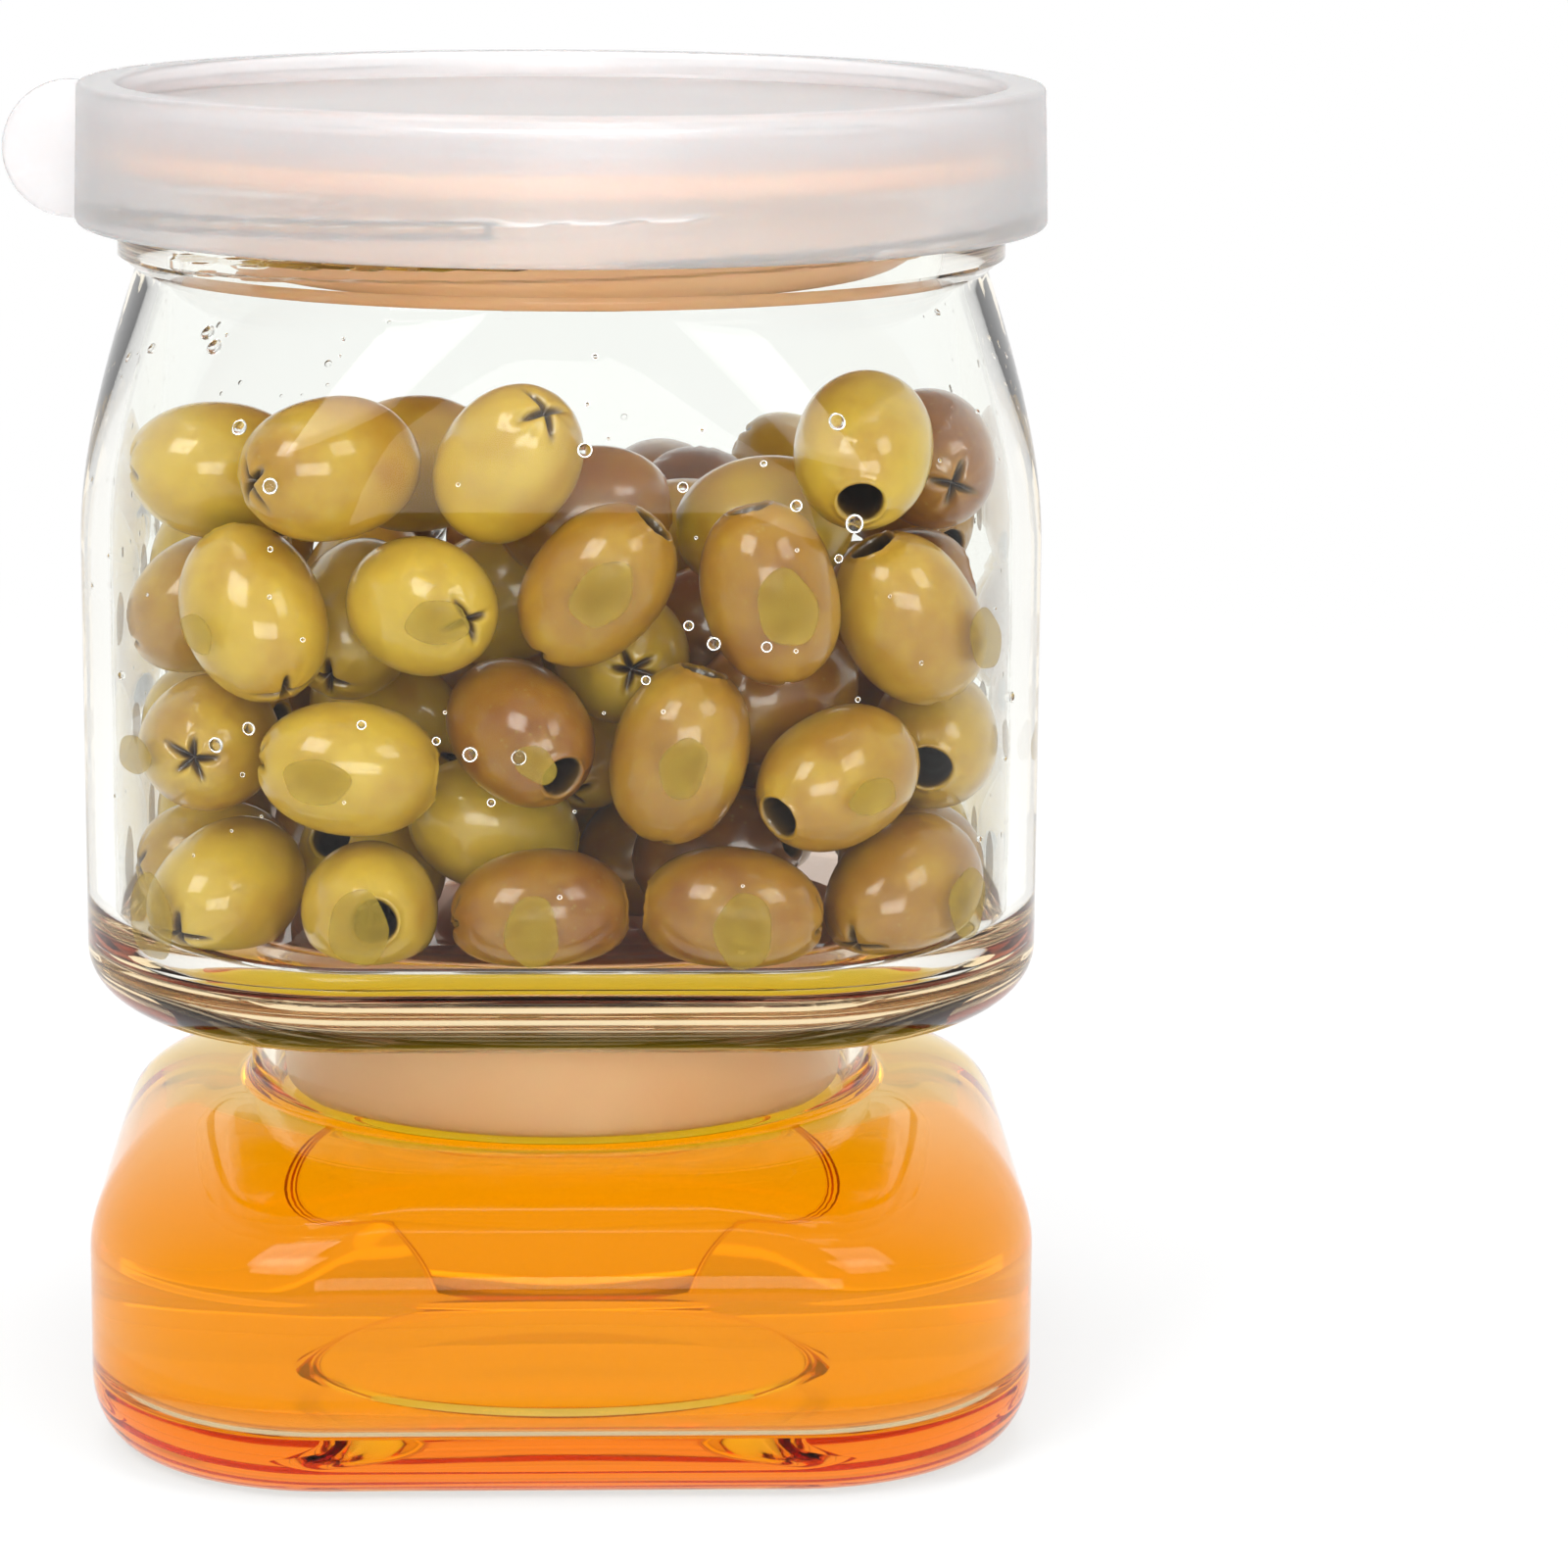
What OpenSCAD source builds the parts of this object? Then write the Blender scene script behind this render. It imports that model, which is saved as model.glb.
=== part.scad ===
// Pickle keeper: two square glass jars that stack. The upper jar has a screw lid over a
// lift-out seal dish. The lower jar is closed by its own dish, and the upper jar stands on it.
// Millimetres, +Z up. The origin is on the jars' centre line, at the surface it stands on.

/* [Glass] */
// Width of both jars, flat to flat
jar_w = 105; // [98:1:120]
// Thickness of the jar walls
wall = 3; // [2.4:0.1:3.6]
// Thickness of the glass at the rims
rim_t = 2.6; // [2.2:0.1:3.2]
// Thickness of the jar floors at their outer part
floor_t = 6; // [4:0.5:8]
// Diameter of the push-up under each jar
pushup_d = 58; // [40:1:62]
// Height of the push-up under each jar
pushup_h = 1.6; // [0.6:0.2:2.4]

/* [Upper jar] */
// Height of the upper jar, foot to rim
upper_h = 92; // [88:1:110]
// Plan radius of the upper jar's corners
upper_corner_r = 31; // [26:1:36]
// How far the upper jar's foot is drawn in
upper_foot_in = 12; // [9:1:14]
// Height of the upper jar's rounded foot
upper_foot_h = 8; // [7:1:12]
// Diameter of the upper jar's threaded neck
upper_neck_d = 99.5; // [96:0.5:100]
// Height of the threaded neck, from waist to rim
upper_neck_h = 11.4; // [11:0.2:12]
// Diameter of the waist under the threaded neck
waist_d = 95.6; // [93:0.2:95.8]
// Height of the sloping step from waist to neck
waist_step_h = 1.6; // [1:0.1:2]
// Height of the upper jar's shoulder
upper_shoulder_h = 28; // [20:1:32]

/* [Lower jar] */
// Height of the lower jar, foot to rim
lower_h = 46.6; // [45:0.2:60]
// Plan radius of the lower jar's corners
lower_corner_r = 27; // [22:1:34]
// How far the lower jar's foot is drawn in
lower_foot_in = 6; // [4:0.5:8]
// Height of the lower jar's rounded foot
lower_foot_h = 8; // [6:0.5:10]
// Diameter of the lower jar's plain neck
lower_neck_d = 71.6; // [68:0.2:76]
// Height of the plain neck, from shoulder to rim
lower_neck_h = 11.2; // [10:0.2:12]
// Height of the lower jar's shoulder
lower_shoulder_h = 13.4; // [11:0.2:16]
// Radius of the hollow curve where shoulder meets neck
neck_flare = 1.6; // [1:0.1:2.4]

/* [Screw thread] */
// Rise of the lid in one full turn
thread_lead = 9; // [8:0.5:10]
// How far the neck's thread stands out
neck_thread_out = 1.5; // [1.2:0.1:1.7]
// How far the lid's thread stands in
lid_thread_in = 1.7; // [1.4:0.1:1.8]
// Height of a thread where it leaves its wall
thread_h = 1.8; // [1.4:0.1:2]
// Height of a thread at its crest
crest_h = 1; // [0.8:0.1:1.2]
// Turn that each start of the neck's thread covers, in degrees
neck_thread_arc = 256; // [200:8:256]
// Turn that each start of the lid's thread covers, in degrees
lid_thread_arc = 168; // [96:8:168]
// Depth of the neck thread's upper end under the rim
thread_below_rim = 2.2; // [2:0.1:2.6]

/* [Lid] */
// Gap between the neck's thread and the lid's bore
lid_gap = 0.65; // [0.45:0.05:1]
// Thickness of the lid's skirt at its open edge
lid_skirt_t = 2.5; // [2:0.1:3]
// How much narrower the lid is at its top edge
lid_draft = 0.8; // [0:0.2:1.6]
// Height of the lid
lid_h = 15.7; // [15.2:0.1:17]
// Thickness of the lid's top panel
panel_t = 1.6; // [1.2:0.1:2.2]
// Depth of the recess in the lid's top
recess_h = 3; // [2:0.2:3.6]
// How far the recess in the lid's top lies inside the lid's bore
recess_in = 2.4; // [2:0.1:4.4]
// Height of the rib that presses on the seal dish
press_rib_h = 1.8; // [1:0.1:2.4]
// Reach of the pull tab beyond the lid's wall
tab_out = 8.1; // [6:0.1:10]
// Height of the pull tab
tab_h = 15.4; // [12:0.1:15.6]
// Thickness of the pull tab
tab_t = 1.8; // [1.2:0.1:3]

/* [Seal dish] */
// Gap between the seal dish's flange and the lid's bore
seal_gap = 0.5; // [0.4:0.05:1]
// Thickness of the seal dish's flange
seal_flange_t = 2.8; // [2:0.1:3.2]
// Depth of the seal dish's tub below the flange
seal_tub_h = 12; // [8:0.5:13]
// Taper of the seal dish's wall from top to bottom
seal_taper = 3.4; // [2.4:0.2:5]
// Inside radius at the foot of the seal dish
seal_corner_r = 3.4; // [2:0.2:4]
// Thickness of the soft wall of both dishes
dish_t = 1.8; // [1.2:0.1:2.2]
// Radial gap between a dish and the neck it sits in
dish_gap = 0.35; // [0.2:0.05:0.6]

/* [Lower dish] */
// Diameter of the lower dish's flange
lower_flange_d = 71; // [68.6:0.2:72]
// Thickness of the lower dish's flange, on which the upper jar stands
lower_flange_t = 1.2; // [1:0.1:2]
// Depth of the lower dish's tub below the flange
lower_tub_h = 12.4; // [9:0.2:13]
// Taper of the lower dish's wall from top to bottom
lower_taper = 1; // [0.6:0.2:3]
// Inside radius at the foot of the lower dish
lower_dish_corner_r = 1; // [0.6:0.2:3]

/* [Contents] */
// Length of an olive
olive_l = 20; // [18:0.5:21]
// Diameter of an olive
olive_d = 15; // [13.6:0.2:15.6]
// Diameter of the pit hole
pit_d = 5; // [4:0.2:6]
// Depth of the pit hole from the olive's end
pit_depth = 14; // [10:0.5:16]
// Gap between the brine in the lower jar and the dish above it
brine_headroom = 0.2; // [0.2:0.2:18]
// Depth of the brine left in the upper jar
puddle_depth = 1.2; // [0.6:0.2:2]

/* [Hidden] */
$fn = 96;

// Colours of the photographed pieces
glass_colour = [0.86, 0.92, 0.92, 0.35];
lid_colour = [0.96, 0.94, 0.94];
silicone_colour = [0.96, 0.72, 0.48];
brine_colour = [0.95, 0.6, 0.05];
olive_colours = ["#7E7423", "#8B8130", "#94892C", "#87762F", "#8F8433"];

// Small sizes that keep one value
eps = 0.01;
fuse = 0.4;
liquid_gap = 0.15;
edge_r = 0.8;
rings_per_curve = 7;
sides = 48;
thread_starts = 2;
thread_step = 8;
thread_root = 0.9;
ledge = 0.2;

// Heights up the stack
upper_z = lower_h + lower_flange_t;
rim_z = upper_z + upper_h;
waist_z = rim_z - upper_neck_h;
seal_top_z = rim_z + seal_flange_t;
panel_z = seal_top_z + press_rib_h;
lid_top_z = panel_z + panel_t + recess_h;
lid_bottom_z = lid_top_z - lid_h;
upper_floor_z = upper_z + floor_t;
lower_shoulder_z = lower_h - lower_neck_h;
brine_top_z = lower_h - lower_tub_h - brine_headroom;

// Radii that several pieces share
half_w = jar_w/2;
neck_r = upper_neck_d/2;
bore_r = neck_r - rim_t;
waist_r = waist_d/2;
waist_bore_r = waist_r - wall;
lower_neck_r = lower_neck_d/2;
lower_bore_r = lower_neck_r - rim_t;
lid_bore_r = neck_r + neck_thread_out + lid_gap;
lid_r = lid_bore_r + lid_skirt_t;
seal_flange_r = lid_bore_r - seal_gap;
foot_inner_r = max(wall, upper_foot_in - wall);

// ---- The jars' plan: a square of half width h whose corners have radius r -------------------

// Distance from the centre to that outline at angle a
function reach(h, r, a) =
    let (u = max(abs(cos(a)), abs(sin(a))), v = min(abs(cos(a)), abs(sin(a))), c = h - r,
         p = c*(u + v))
    h*v/u <= c ? h/u : p + sqrt(max(0, r*r - 2*c*c + p*p));

// One level ring of a jar's skin at height z
function ring(h, r, z) =
    [for (i = [0:sides - 1]) let (a = i*360/sides, d = reach(h, r, a)) [d*cos(a), d*sin(a), z]];

// A stack of rings, each given as [half width, corner radius, height]
function rings(rows) = [for (row = rows) ring(row[0], row[1], row[2])];

// A foot: a quarter of an oval that draws the wall in by inset over height h
function foot(half, corner, inset, h) =
    [for (k = [0:rings_per_curve - 1]) let (a = 90*k/rings_per_curve, d = inset*(1 - sin(a)))
        [half - d, max(corner - d, 1), h*(1 - cos(a))]];

// The upper jar's shoulder: it leaves the wall upright and leans in to a round waist
function upper_shoulder(half, corner, top_r, z0, h) =
    [for (k = [0:rings_per_curve]) let (t = k/rings_per_curve, f = sin(90*(1 - t)))
        [top_r + (half - top_r)*f, top_r + (corner - top_r)*f, z0 + h*t]];

// The lower jar's shoulder: a quarter of an oval that ends level at a round neck
function lower_shoulder(half, corner, top_r, z0, h) =
    [for (k = [0:rings_per_curve]) let (a = 90*k/rings_per_curve, f = cos(a))
        [top_r + (half - top_r)*f, top_r + (corner - top_r)*f, z0 + h*sin(a)]];

function raised(rows, z) = [for (row = rows) [row[0], row[1], row[2] + z]];

// A jar's body from foot to neck. in is how far the skin lies inside the glass, and bottom
// is the height of its lowest ring.
function upper_rows(in, bottom) =
    concat(raised(foot(half_w - in, upper_corner_r - in, upper_foot_in - in/2, upper_foot_h), bottom),
        upper_shoulder(half_w - in, upper_corner_r - in, waist_r - in,
            waist_z - upper_shoulder_h, upper_shoulder_h));
function lower_rows(in, bottom) =
    concat(raised(foot(half_w - in, lower_corner_r - in, lower_foot_in, lower_foot_h), bottom),
        lower_shoulder(half_w - in, lower_corner_r - in, lower_neck_r + neck_flare + ledge - in,
            lower_shoulder_z - lower_shoulder_h, lower_shoulder_h - in));

// A closed skin through a stack of rings that all have as many points. Each end is closed by
// triangles that meet at the middle of its ring.
module skin(stack) {
    n = len(stack[0]);
    last = len(stack) - 1;
    low_hub = n*(last + 1);
    high_hub = low_hub + 1;
    walls = [for (k = [0:last - 1], i = [0:n - 1])
        let (a = k*n + i, b = k*n + (i + 1)%n)
        each [[a, a + n, b + n], [a, b + n, b]]];
    bottom = [for (i = [0:n - 1]) [i, (i + 1)%n, low_hub]];
    top = [for (i = [0:n - 1]) [last*n + (i + 1)%n, last*n + i, high_hub]];
    polyhedron([for (level = stack) each level, middle(stack[0]), middle(stack[last])],
        concat(walls, bottom, top));
}
function middle(points) = total(points)/len(points);
function total(v, i = 0, sum = [0, 0, 0]) = i >= len(v) ? sum : total(v, i + 1, sum + v[i]);

// A solid of revolution from points of radius and height
module turned(outline) {
    rotate_extrude() polygon(outline);
}

// Points of a round corner about centre c, from angle a0 to a1
function arc(c, r, a0, a1, n = 4) =
    [for (k = [0:n]) let (a = a0 + (a1 - a0)*k/n) [c[0] + r*cos(a), c[1] + r*sin(a)]];

// ---- Screw thread ------------------------------------------------------------------------------

// Height of the neck thread's middle at angle a, for the start whose upper end is at top_a
top_a = 109;
function thread_z(a) = rim_z - thread_below_rim - (top_a - a)*thread_lead/360;

// One start of a thread: a ridge from radius r_in to r_out along the helix, lowered by drop
module thread_start(r_in, h_in, r_out, h_out, a0, a1, drop) {
    steps = ceil((a1 - a0)/thread_step);
    skin([for (k = [0:steps]) let (a = a0 + (a1 - a0)*k/steps, z = thread_z(a) - drop)
        [for (p = [[r_in, -h_in], [r_in, h_in], [r_out, h_out], [r_out, -h_out]])
            [p[0]*cos(a), p[0]*sin(a), z + p[1]/2]]]);
}

module neck_thread() {
    for (k = [0:thread_starts - 1])
        rotate([0, 0, k*360/thread_starts])
            thread_start(neck_r - thread_root, thread_h, neck_r + neck_thread_out, crest_h,
                top_a - neck_thread_arc, top_a, 0);
}

// The lid's thread runs midway between the two starts of the neck's
module lid_thread() {
    drop = thread_lead/thread_starts/2;
    low_z = lid_bottom_z + edge_r + thread_h/2;
    low_a = top_a - (rim_z - thread_below_rim - drop - low_z)*360/thread_lead;
    for (k = [0:thread_starts - 1])
        rotate([0, 0, k*360/thread_starts])
            thread_start(lid_bore_r - lid_thread_in, crest_h, lid_bore_r + fuse, thread_h,
                low_a, low_a + lid_thread_arc, drop);
}

// ---- Glass jars --------------------------------------------------------------------------------

module pushup(z) {
    translate([0, 0, z - eps]) cylinder(h = pushup_h + eps, d1 = pushup_d, d2 = pushup_d - 2*pushup_h);
}

module upper_glass() difference() {
    union() {
        skin(rings(upper_rows(0, upper_z)));
        turned(concat([[0, waist_z - fuse], [waist_r - ledge, waist_z - fuse],
                [waist_r - ledge, waist_z], [neck_r, waist_z + waist_step_h]],
            arc([neck_r - edge_r, rim_z - edge_r], edge_r, 0, 90), [[0, rim_z]]));
    }
    skin(rings(upper_rows(wall, upper_floor_z)));
    turned([[0, waist_z - wall], [waist_bore_r, waist_z - wall], [waist_bore_r, waist_z],
        [bore_r, rim_z - edge_r], [bore_r + edge_r/2, rim_z + eps], [0, rim_z + eps]]);
    pushup(upper_z);
}

module upper_jar() color(glass_colour) {
    upper_glass();
    neck_thread();
}

module lower_jar() color(glass_colour) difference() {
    union() {
        skin(rings(lower_rows(0, 0)));
        turned(concat([[0, lower_shoulder_z - fuse], [lower_neck_r + neck_flare, lower_shoulder_z - fuse]],
            arc([lower_neck_r + neck_flare, lower_shoulder_z + neck_flare], neck_flare, 270, 180),
            arc([lower_neck_r - edge_r, lower_h - edge_r], edge_r, 0, 90), [[0, lower_h]]));
    }
    skin(rings(lower_rows(wall, floor_t)));
    turned([[0, lower_shoulder_z - wall - fuse], [lower_bore_r, lower_shoulder_z - wall - fuse],
        [lower_bore_r, lower_h - edge_r], [lower_bore_r + edge_r/2, lower_h + eps], [0, lower_h + eps]]);
    pushup(0);
}

// ---- Soft dishes -------------------------------------------------------------------------------

// A dish: a flange of radius flange_r resting at rest_z, and a tub whose wall starts at radius
// top_r, tapers in by taper and reaches depth below the flange's underside
module dish(flange_r, flange_t, top_r, taper, depth, corner_r, rest_z) {
    foot_r = corner_r + dish_t;
    floor_r = top_r - taper;
    bottom_z = rest_z - depth;
    top_z = rest_z + flange_t;
    bead = flange_t/2;
    turned(concat([[0, bottom_z]],
        arc([floor_r - foot_r, bottom_z + foot_r], foot_r, 270, 360, 6),
        [[top_r, rest_z]],
        arc([flange_r - bead, rest_z + bead], bead, 270, 450, 6),
        [[top_r - dish_t + edge_r, top_z], [top_r - dish_t, top_z - edge_r]],
        arc([floor_r - foot_r, bottom_z + foot_r], corner_r, 360, 270, 6),
        [[0, bottom_z + dish_t]]));
}

seal_top_r = min(bore_r, waist_bore_r + seal_taper) - dish_gap;

module seal_dish() color(silicone_colour) difference() {
    groove_r = seal_flange_r - seal_flange_t;
    scoop_r = 5;
    scoop_in = 0.9;
    scoop_down = seal_tub_h/3;
    wall_top = seal_flange_t - edge_r;
    wall_low = seal_tub_h - seal_corner_r - dish_t;
    scoop_wall_r = seal_top_r - dish_t - seal_taper*(wall_top + scoop_down)/(wall_top + wall_low);
    dish(seal_flange_r, seal_flange_t, seal_top_r, seal_taper, seal_tub_h, seal_corner_r, rim_z);
    translate([0, 0, seal_top_z]) rotate_extrude() translate([groove_r, 0]) circle(r = 0.4);
    translate([scoop_wall_r + scoop_in - scoop_r, 0, rim_z - scoop_down]) sphere(r = scoop_r);
}

module lower_dish() color(silicone_colour)
    dish(lower_flange_d/2, lower_flange_t, lower_bore_r - dish_gap, lower_taper, lower_tub_h,
        lower_dish_corner_r, lower_h);

// ---- Lid ---------------------------------------------------------------------------------------

module lid_shell() {
    top_r = lid_r - lid_draft/2;
    recess_r = lid_bore_r - recess_in;
    recess_wall = 1.4;
    groove_z = lid_top_z - panel_t;
    rib_r = neck_r - rim_t/2;
    rib_half = 0.8;
    turned(concat([[0, panel_z], [rib_r - rib_half, panel_z], [rib_r - rib_half, seal_top_z],
            [rib_r + rib_half, seal_top_z], [rib_r + rib_half, panel_z],
            [recess_r + recess_wall, panel_z], [recess_r + recess_wall, groove_z],
            [lid_bore_r, groove_z], [lid_bore_r, lid_bottom_z]],
        arc([lid_r - edge_r, lid_bottom_z + edge_r], edge_r, 270, 360),
        arc([top_r - edge_r, lid_top_z - edge_r], edge_r, 0, 90),
        arc([recess_r + edge_r, lid_top_z - edge_r], edge_r, 90, 180),
        [[recess_r, panel_z + panel_t], [0, panel_z + panel_t]]));
}

// A thin upright disc, edge-on to the lid's wall, kept only outside the lid's bore
module tab() difference() {
    translate([tab_h/2 - lid_r - tab_out, 0, lid_bottom_z + lid_h/2])
        rotate([90, 0, 0]) cylinder(h = tab_t, d = tab_h, center = true);
    translate([0, 0, lid_bottom_z - lid_h]) cylinder(h = 3*lid_h, r = lid_bore_r + fuse);
}

module lid() color(lid_colour) {
    lid_shell();
    lid_thread();
    tab();
}

// ---- Brine -------------------------------------------------------------------------------------

module brine() color(brine_colour) intersection() {
    union() {
        skin(rings(lower_rows(wall + liquid_gap, floor_t + liquid_gap)));
        turned([[0, lower_shoulder_z - 2*wall], [lower_bore_r - liquid_gap, lower_shoulder_z - 2*wall],
            [lower_bore_r - liquid_gap, lower_h], [0, lower_h]]);
    }
    translate([-half_w, -half_w, 0]) cube([jar_w, jar_w, brine_top_z]);
}

module brine_puddle() color(brine_colour) intersection() {
    skin(rings(upper_rows(wall + liquid_gap, upper_floor_z + liquid_gap)));
    translate([-half_w, -half_w, 0]) cube([jar_w, jar_w, upper_floor_z + puddle_depth]);
}

// ---- Olives ------------------------------------------------------------------------------------

// The olives against the front wall, as they lie in the jar. Each is [x, height above the
// jar's floor, distance behind the front glass, heading of the pit hole, its tilt]: heading 0
// is to the right, 90 to the back and -90 to the front.
front_olives = [
    [-38, 9.5, 12, 60, 20], [-20, 10, 10.5, -85, 5], [-2, 8.8, 8.5, 8, 4],
    [19, 8.5, 9, 175, 5], [36.5, 9.5, 12, 50, 30],
    [-38, 24, 13, 84, 0], [-20.5, 27.5, 8.5, 2, -6], [-9.5, 20.5, 20, 20, -20],
    [-1, 30, 10, -58, -22], [13.5, 23.5, 8.5, 0, 74], [32.5, 21.5, 9.5, -138, -20],
    [42, 25, 26, -100, -10],
    [-34, 41, 9, 125, 52], [-14.5, 42.5, 10, 122, 0], [4, 47.5, 8.5, -10, 48],
    [10, 37, 21, 96, 0], [22.5, 46.5, 8.5, 180, 76], [38.5, 38.5, 13, 200, 62], [25, 31, 21, 30, 15],
    [-37, 56, 15, 12, -5], [-23, 55.5, 10, 35, 5],
    [-9.5, 55.5, 12, 125, -42], [-14, 56, 27, 30, 0], [2, 53, 20, 5, 8],
    [20, 54, 24, 172, -6], [35, 53, 14, -95, -28], [39, 53, 29, 100, 10]];

// The size of olive and the half width of the jar that the list was made for
listed_l = 20;
listed_d = 15;
listed_half = 49.5;

// The rest fill the jar behind them, in staggered layers with a scatter of headings
rest_count = 60;
columns = 5;
ranks = 4;
first_rank = 34;
layer_step = 14;
scatter = 1.6;
headings = rands(0, 360, rest_count, 11);
tilts = rands(-38, 38, rest_count, 12);
shifts = rands(-scatter, scatter, 3*rest_count, 13);

olive_r = olive_d/2;
core = (olive_l - olive_d)/2;
clear = 0.3;
ease = 0.8;
inner_half = half_w - wall;
spread = max(olive_l/listed_l, olive_d/listed_d);
inner_scale = (inner_half - olive_r)/(listed_half - listed_d/2);

// How far layer k shifts the olive in place i of n, of which the outer two stay at the glass
function stagger(i, n, k) = i == 0 || i == n - 1 ? 0 : (k%2 - 0.5)/2;

// The way an olive points, with its pit hole at the far end
function way(heading, tilt) = [cos(heading)*cos(tilt), sin(heading)*cos(tilt), sin(tilt)];

front_starts = [for (o = front_olives)
    [o[0]*inner_scale, o[2]*spread - inner_half, upper_floor_z + o[1]*spread]];
rest_starts = [for (n = [0:rest_count - 1])
    let (i = n%columns, j = floor(n/columns)%ranks, k = floor(n/columns/ranks),
         gap_x = 2*(inner_half - olive_r)/(columns - 1),
         gap_y = (2*inner_half - first_rank - olive_r)/(ranks - 1))
    [(i + stagger(i, columns, k))*gap_x - inner_half + olive_r,
        (j + stagger(j, ranks, k))*gap_y - inner_half + first_rank,
        upper_floor_z + olive_r + k*layer_step*spread]
        + [shifts[3*n], shifts[3*n + 1], shifts[3*n + 2]]];
ways = concat([for (o = front_olives) way(o[3], o[4])],
    [for (n = [0:rest_count - 1]) way(headings[n], tilts[n])]);
starts = concat(front_starts, rest_starts);
count = len(starts);

// Two olives push apart where their cores are closer than a diameter. The core is the
// stretch of the long axis whose distance to the skin is never under the radius.
function held(s) = min(core, max(-core, s));
function push(p, a, q, b) =
    let (w = p - q, ab = a*b, den = max(1 - ab*ab, 0.02),
         t = held((w*b + held((ab*(w*b) - w*a)/den)*ab)),
         s = held(t*ab - w*a),
         v = w + s*a - t*b, d = max(norm(v), eps), near = 2*(olive_r + clear))
    d < near ? v*((near - d)/(2*d)) : [0, 0, 0];

// How far a ball at p, as large as an olive is thick, has to move to be inside the glass
function back_inside(p) =
    let (r = olive_r + clear + liquid_gap,
         up = max(0, min(1, (waist_z - p[2])/upper_shoulder_h)),
         lean = sin(90*up),
         half = waist_bore_r + (inner_half - waist_bore_r)*lean,
         corner = waist_bore_r + (upper_corner_r - wall - waist_bore_r)*lean,
         low = max(0, min(1, 1 - (p[2] - upper_floor_z - r)/max(foot_inner_r - r, eps))),
         foot_in = max(foot_inner_r - r, 0)*(1 - sqrt(1 - low*low)),
         c = half - corner, room = corner - r - foot_in,
         u = max(abs(p[0]) - c, 0), v = max(abs(p[1]) - c, 0), d = max(norm([u, v]), eps),
         over = max(d - room, 0)/d,
         lift = max(upper_floor_z + puddle_depth + r - liquid_gap - p[2], 0))
    [-sign(p[0])*u*over, -sign(p[1])*v*over, lift];

// Which other olives lie close enough to each one to meet it within a few passes
function neighbours(list) = [for (i = [0:count - 1])
    [for (j = [0:count - 1]) if (j != i && norm(list[i] - list[j]) < olive_l + 5) j]];

// The front olives hold their places and the others give way to them
function share(i, j) =
    let (front = len(front_olives), gives = 0.4, takes = 2 - gives)
    (i < front) == (j < front) ? 1 : i < front ? gives : takes;

// Each pass lets every olive sink a little, then eases it off its neighbours and the glass
function eased(list, close, sink) = [for (i = [0:count - 1])
    let (c = list[i], pushes = [for (j = close[i]) push(c, ways[i], list[j], ways[j])*share(i, j)],
         m = c + total(pushes)*ease - [0, 0, sink])
    m + back_inside(m + core*ways[i]) + back_inside(m - core*ways[i])];
function passed(list, close, passes, sink) =
    passes == 0 ? list : passed(eased(list, close, sink), close, passes - 1, sink);
function settled(list, rounds, passes, sink) =
    rounds == 0 ? list : settled(passed(list, neighbours(list), passes, sink), rounds - 1, passes, sink);

module olive() difference() {
    n = 10;
    fullness = 0.94;
    rotate_extrude($fn = 36) polygon([for (k = [0:n]) let (a = -90 + 180*k/n)
        [olive_r*pow(cos(a), fullness), sign(a)*olive_l/2*pow(abs(sin(a)), fullness)]]);
    translate([0, 0, olive_l/2 - pit_depth]) cylinder(h = pit_depth, d = pit_d, $fn = 24);
}

// The band of the pile, counted from the jar's floor, that an olive at height z belongs to
band_h = 13;
bands = len(olive_colours);
function band(z) = min(bands - 1, floor((z - upper_floor_z)/(band_h*spread)));

// How often the neighbours are looked up again, the passes between, and how far each one sinks
settle_rounds = 26;
settle_passes = 8;
settle_sink = 0.02;

// The olives of one band, where they have settled
module olives(layer) {
    places = settled(starts, settle_rounds, settle_passes, settle_sink);
    color(olive_colours[layer])
        for (i = [0:count - 1])
            if (band(places[i][2]) == layer)
                translate(places[i])
                    rotate([0, acos(ways[i][2]), atan2(ways[i][1], ways[i][0])])
                        olive();
}

lid();
seal_dish();
upper_jar();
lower_dish();
lower_jar();
brine();
brine_puddle();
olives(0);  // olives_layer_1
olives(1);  // olives_layer_2
olives(2);  // olives_layer_3
olives(3);  // olives_layer_4
olives(4);  // olives_layer_5
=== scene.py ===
"""Dresses a pickle keeper: an olive jar with a screw lid, standing on a squat jar of brine."""

import logging
import math
from dataclasses import dataclass, field
from enum import Enum
from functools import cached_property
from typing import Sequence

import bmesh
import bpy
import numpy as np
from mathutils import Matrix, Vector


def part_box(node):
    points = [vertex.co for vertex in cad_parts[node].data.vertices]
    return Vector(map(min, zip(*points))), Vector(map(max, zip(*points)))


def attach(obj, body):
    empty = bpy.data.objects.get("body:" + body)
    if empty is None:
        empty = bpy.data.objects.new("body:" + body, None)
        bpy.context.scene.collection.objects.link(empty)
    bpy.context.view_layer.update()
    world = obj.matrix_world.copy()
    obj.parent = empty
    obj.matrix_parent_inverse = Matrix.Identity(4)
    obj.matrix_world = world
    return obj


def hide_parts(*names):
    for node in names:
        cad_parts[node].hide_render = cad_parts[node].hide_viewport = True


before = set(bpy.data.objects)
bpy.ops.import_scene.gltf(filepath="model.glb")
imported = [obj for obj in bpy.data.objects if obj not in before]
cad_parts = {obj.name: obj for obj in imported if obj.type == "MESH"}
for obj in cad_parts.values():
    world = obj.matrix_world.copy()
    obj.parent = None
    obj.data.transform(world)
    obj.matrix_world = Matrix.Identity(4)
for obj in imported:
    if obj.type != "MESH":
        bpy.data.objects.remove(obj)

LOG = logging.getLogger("pickle_keeper")
MM = 0.001
AROUND = 240
HUB_R = 2.0
CREASE = math.radians(40)
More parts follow.
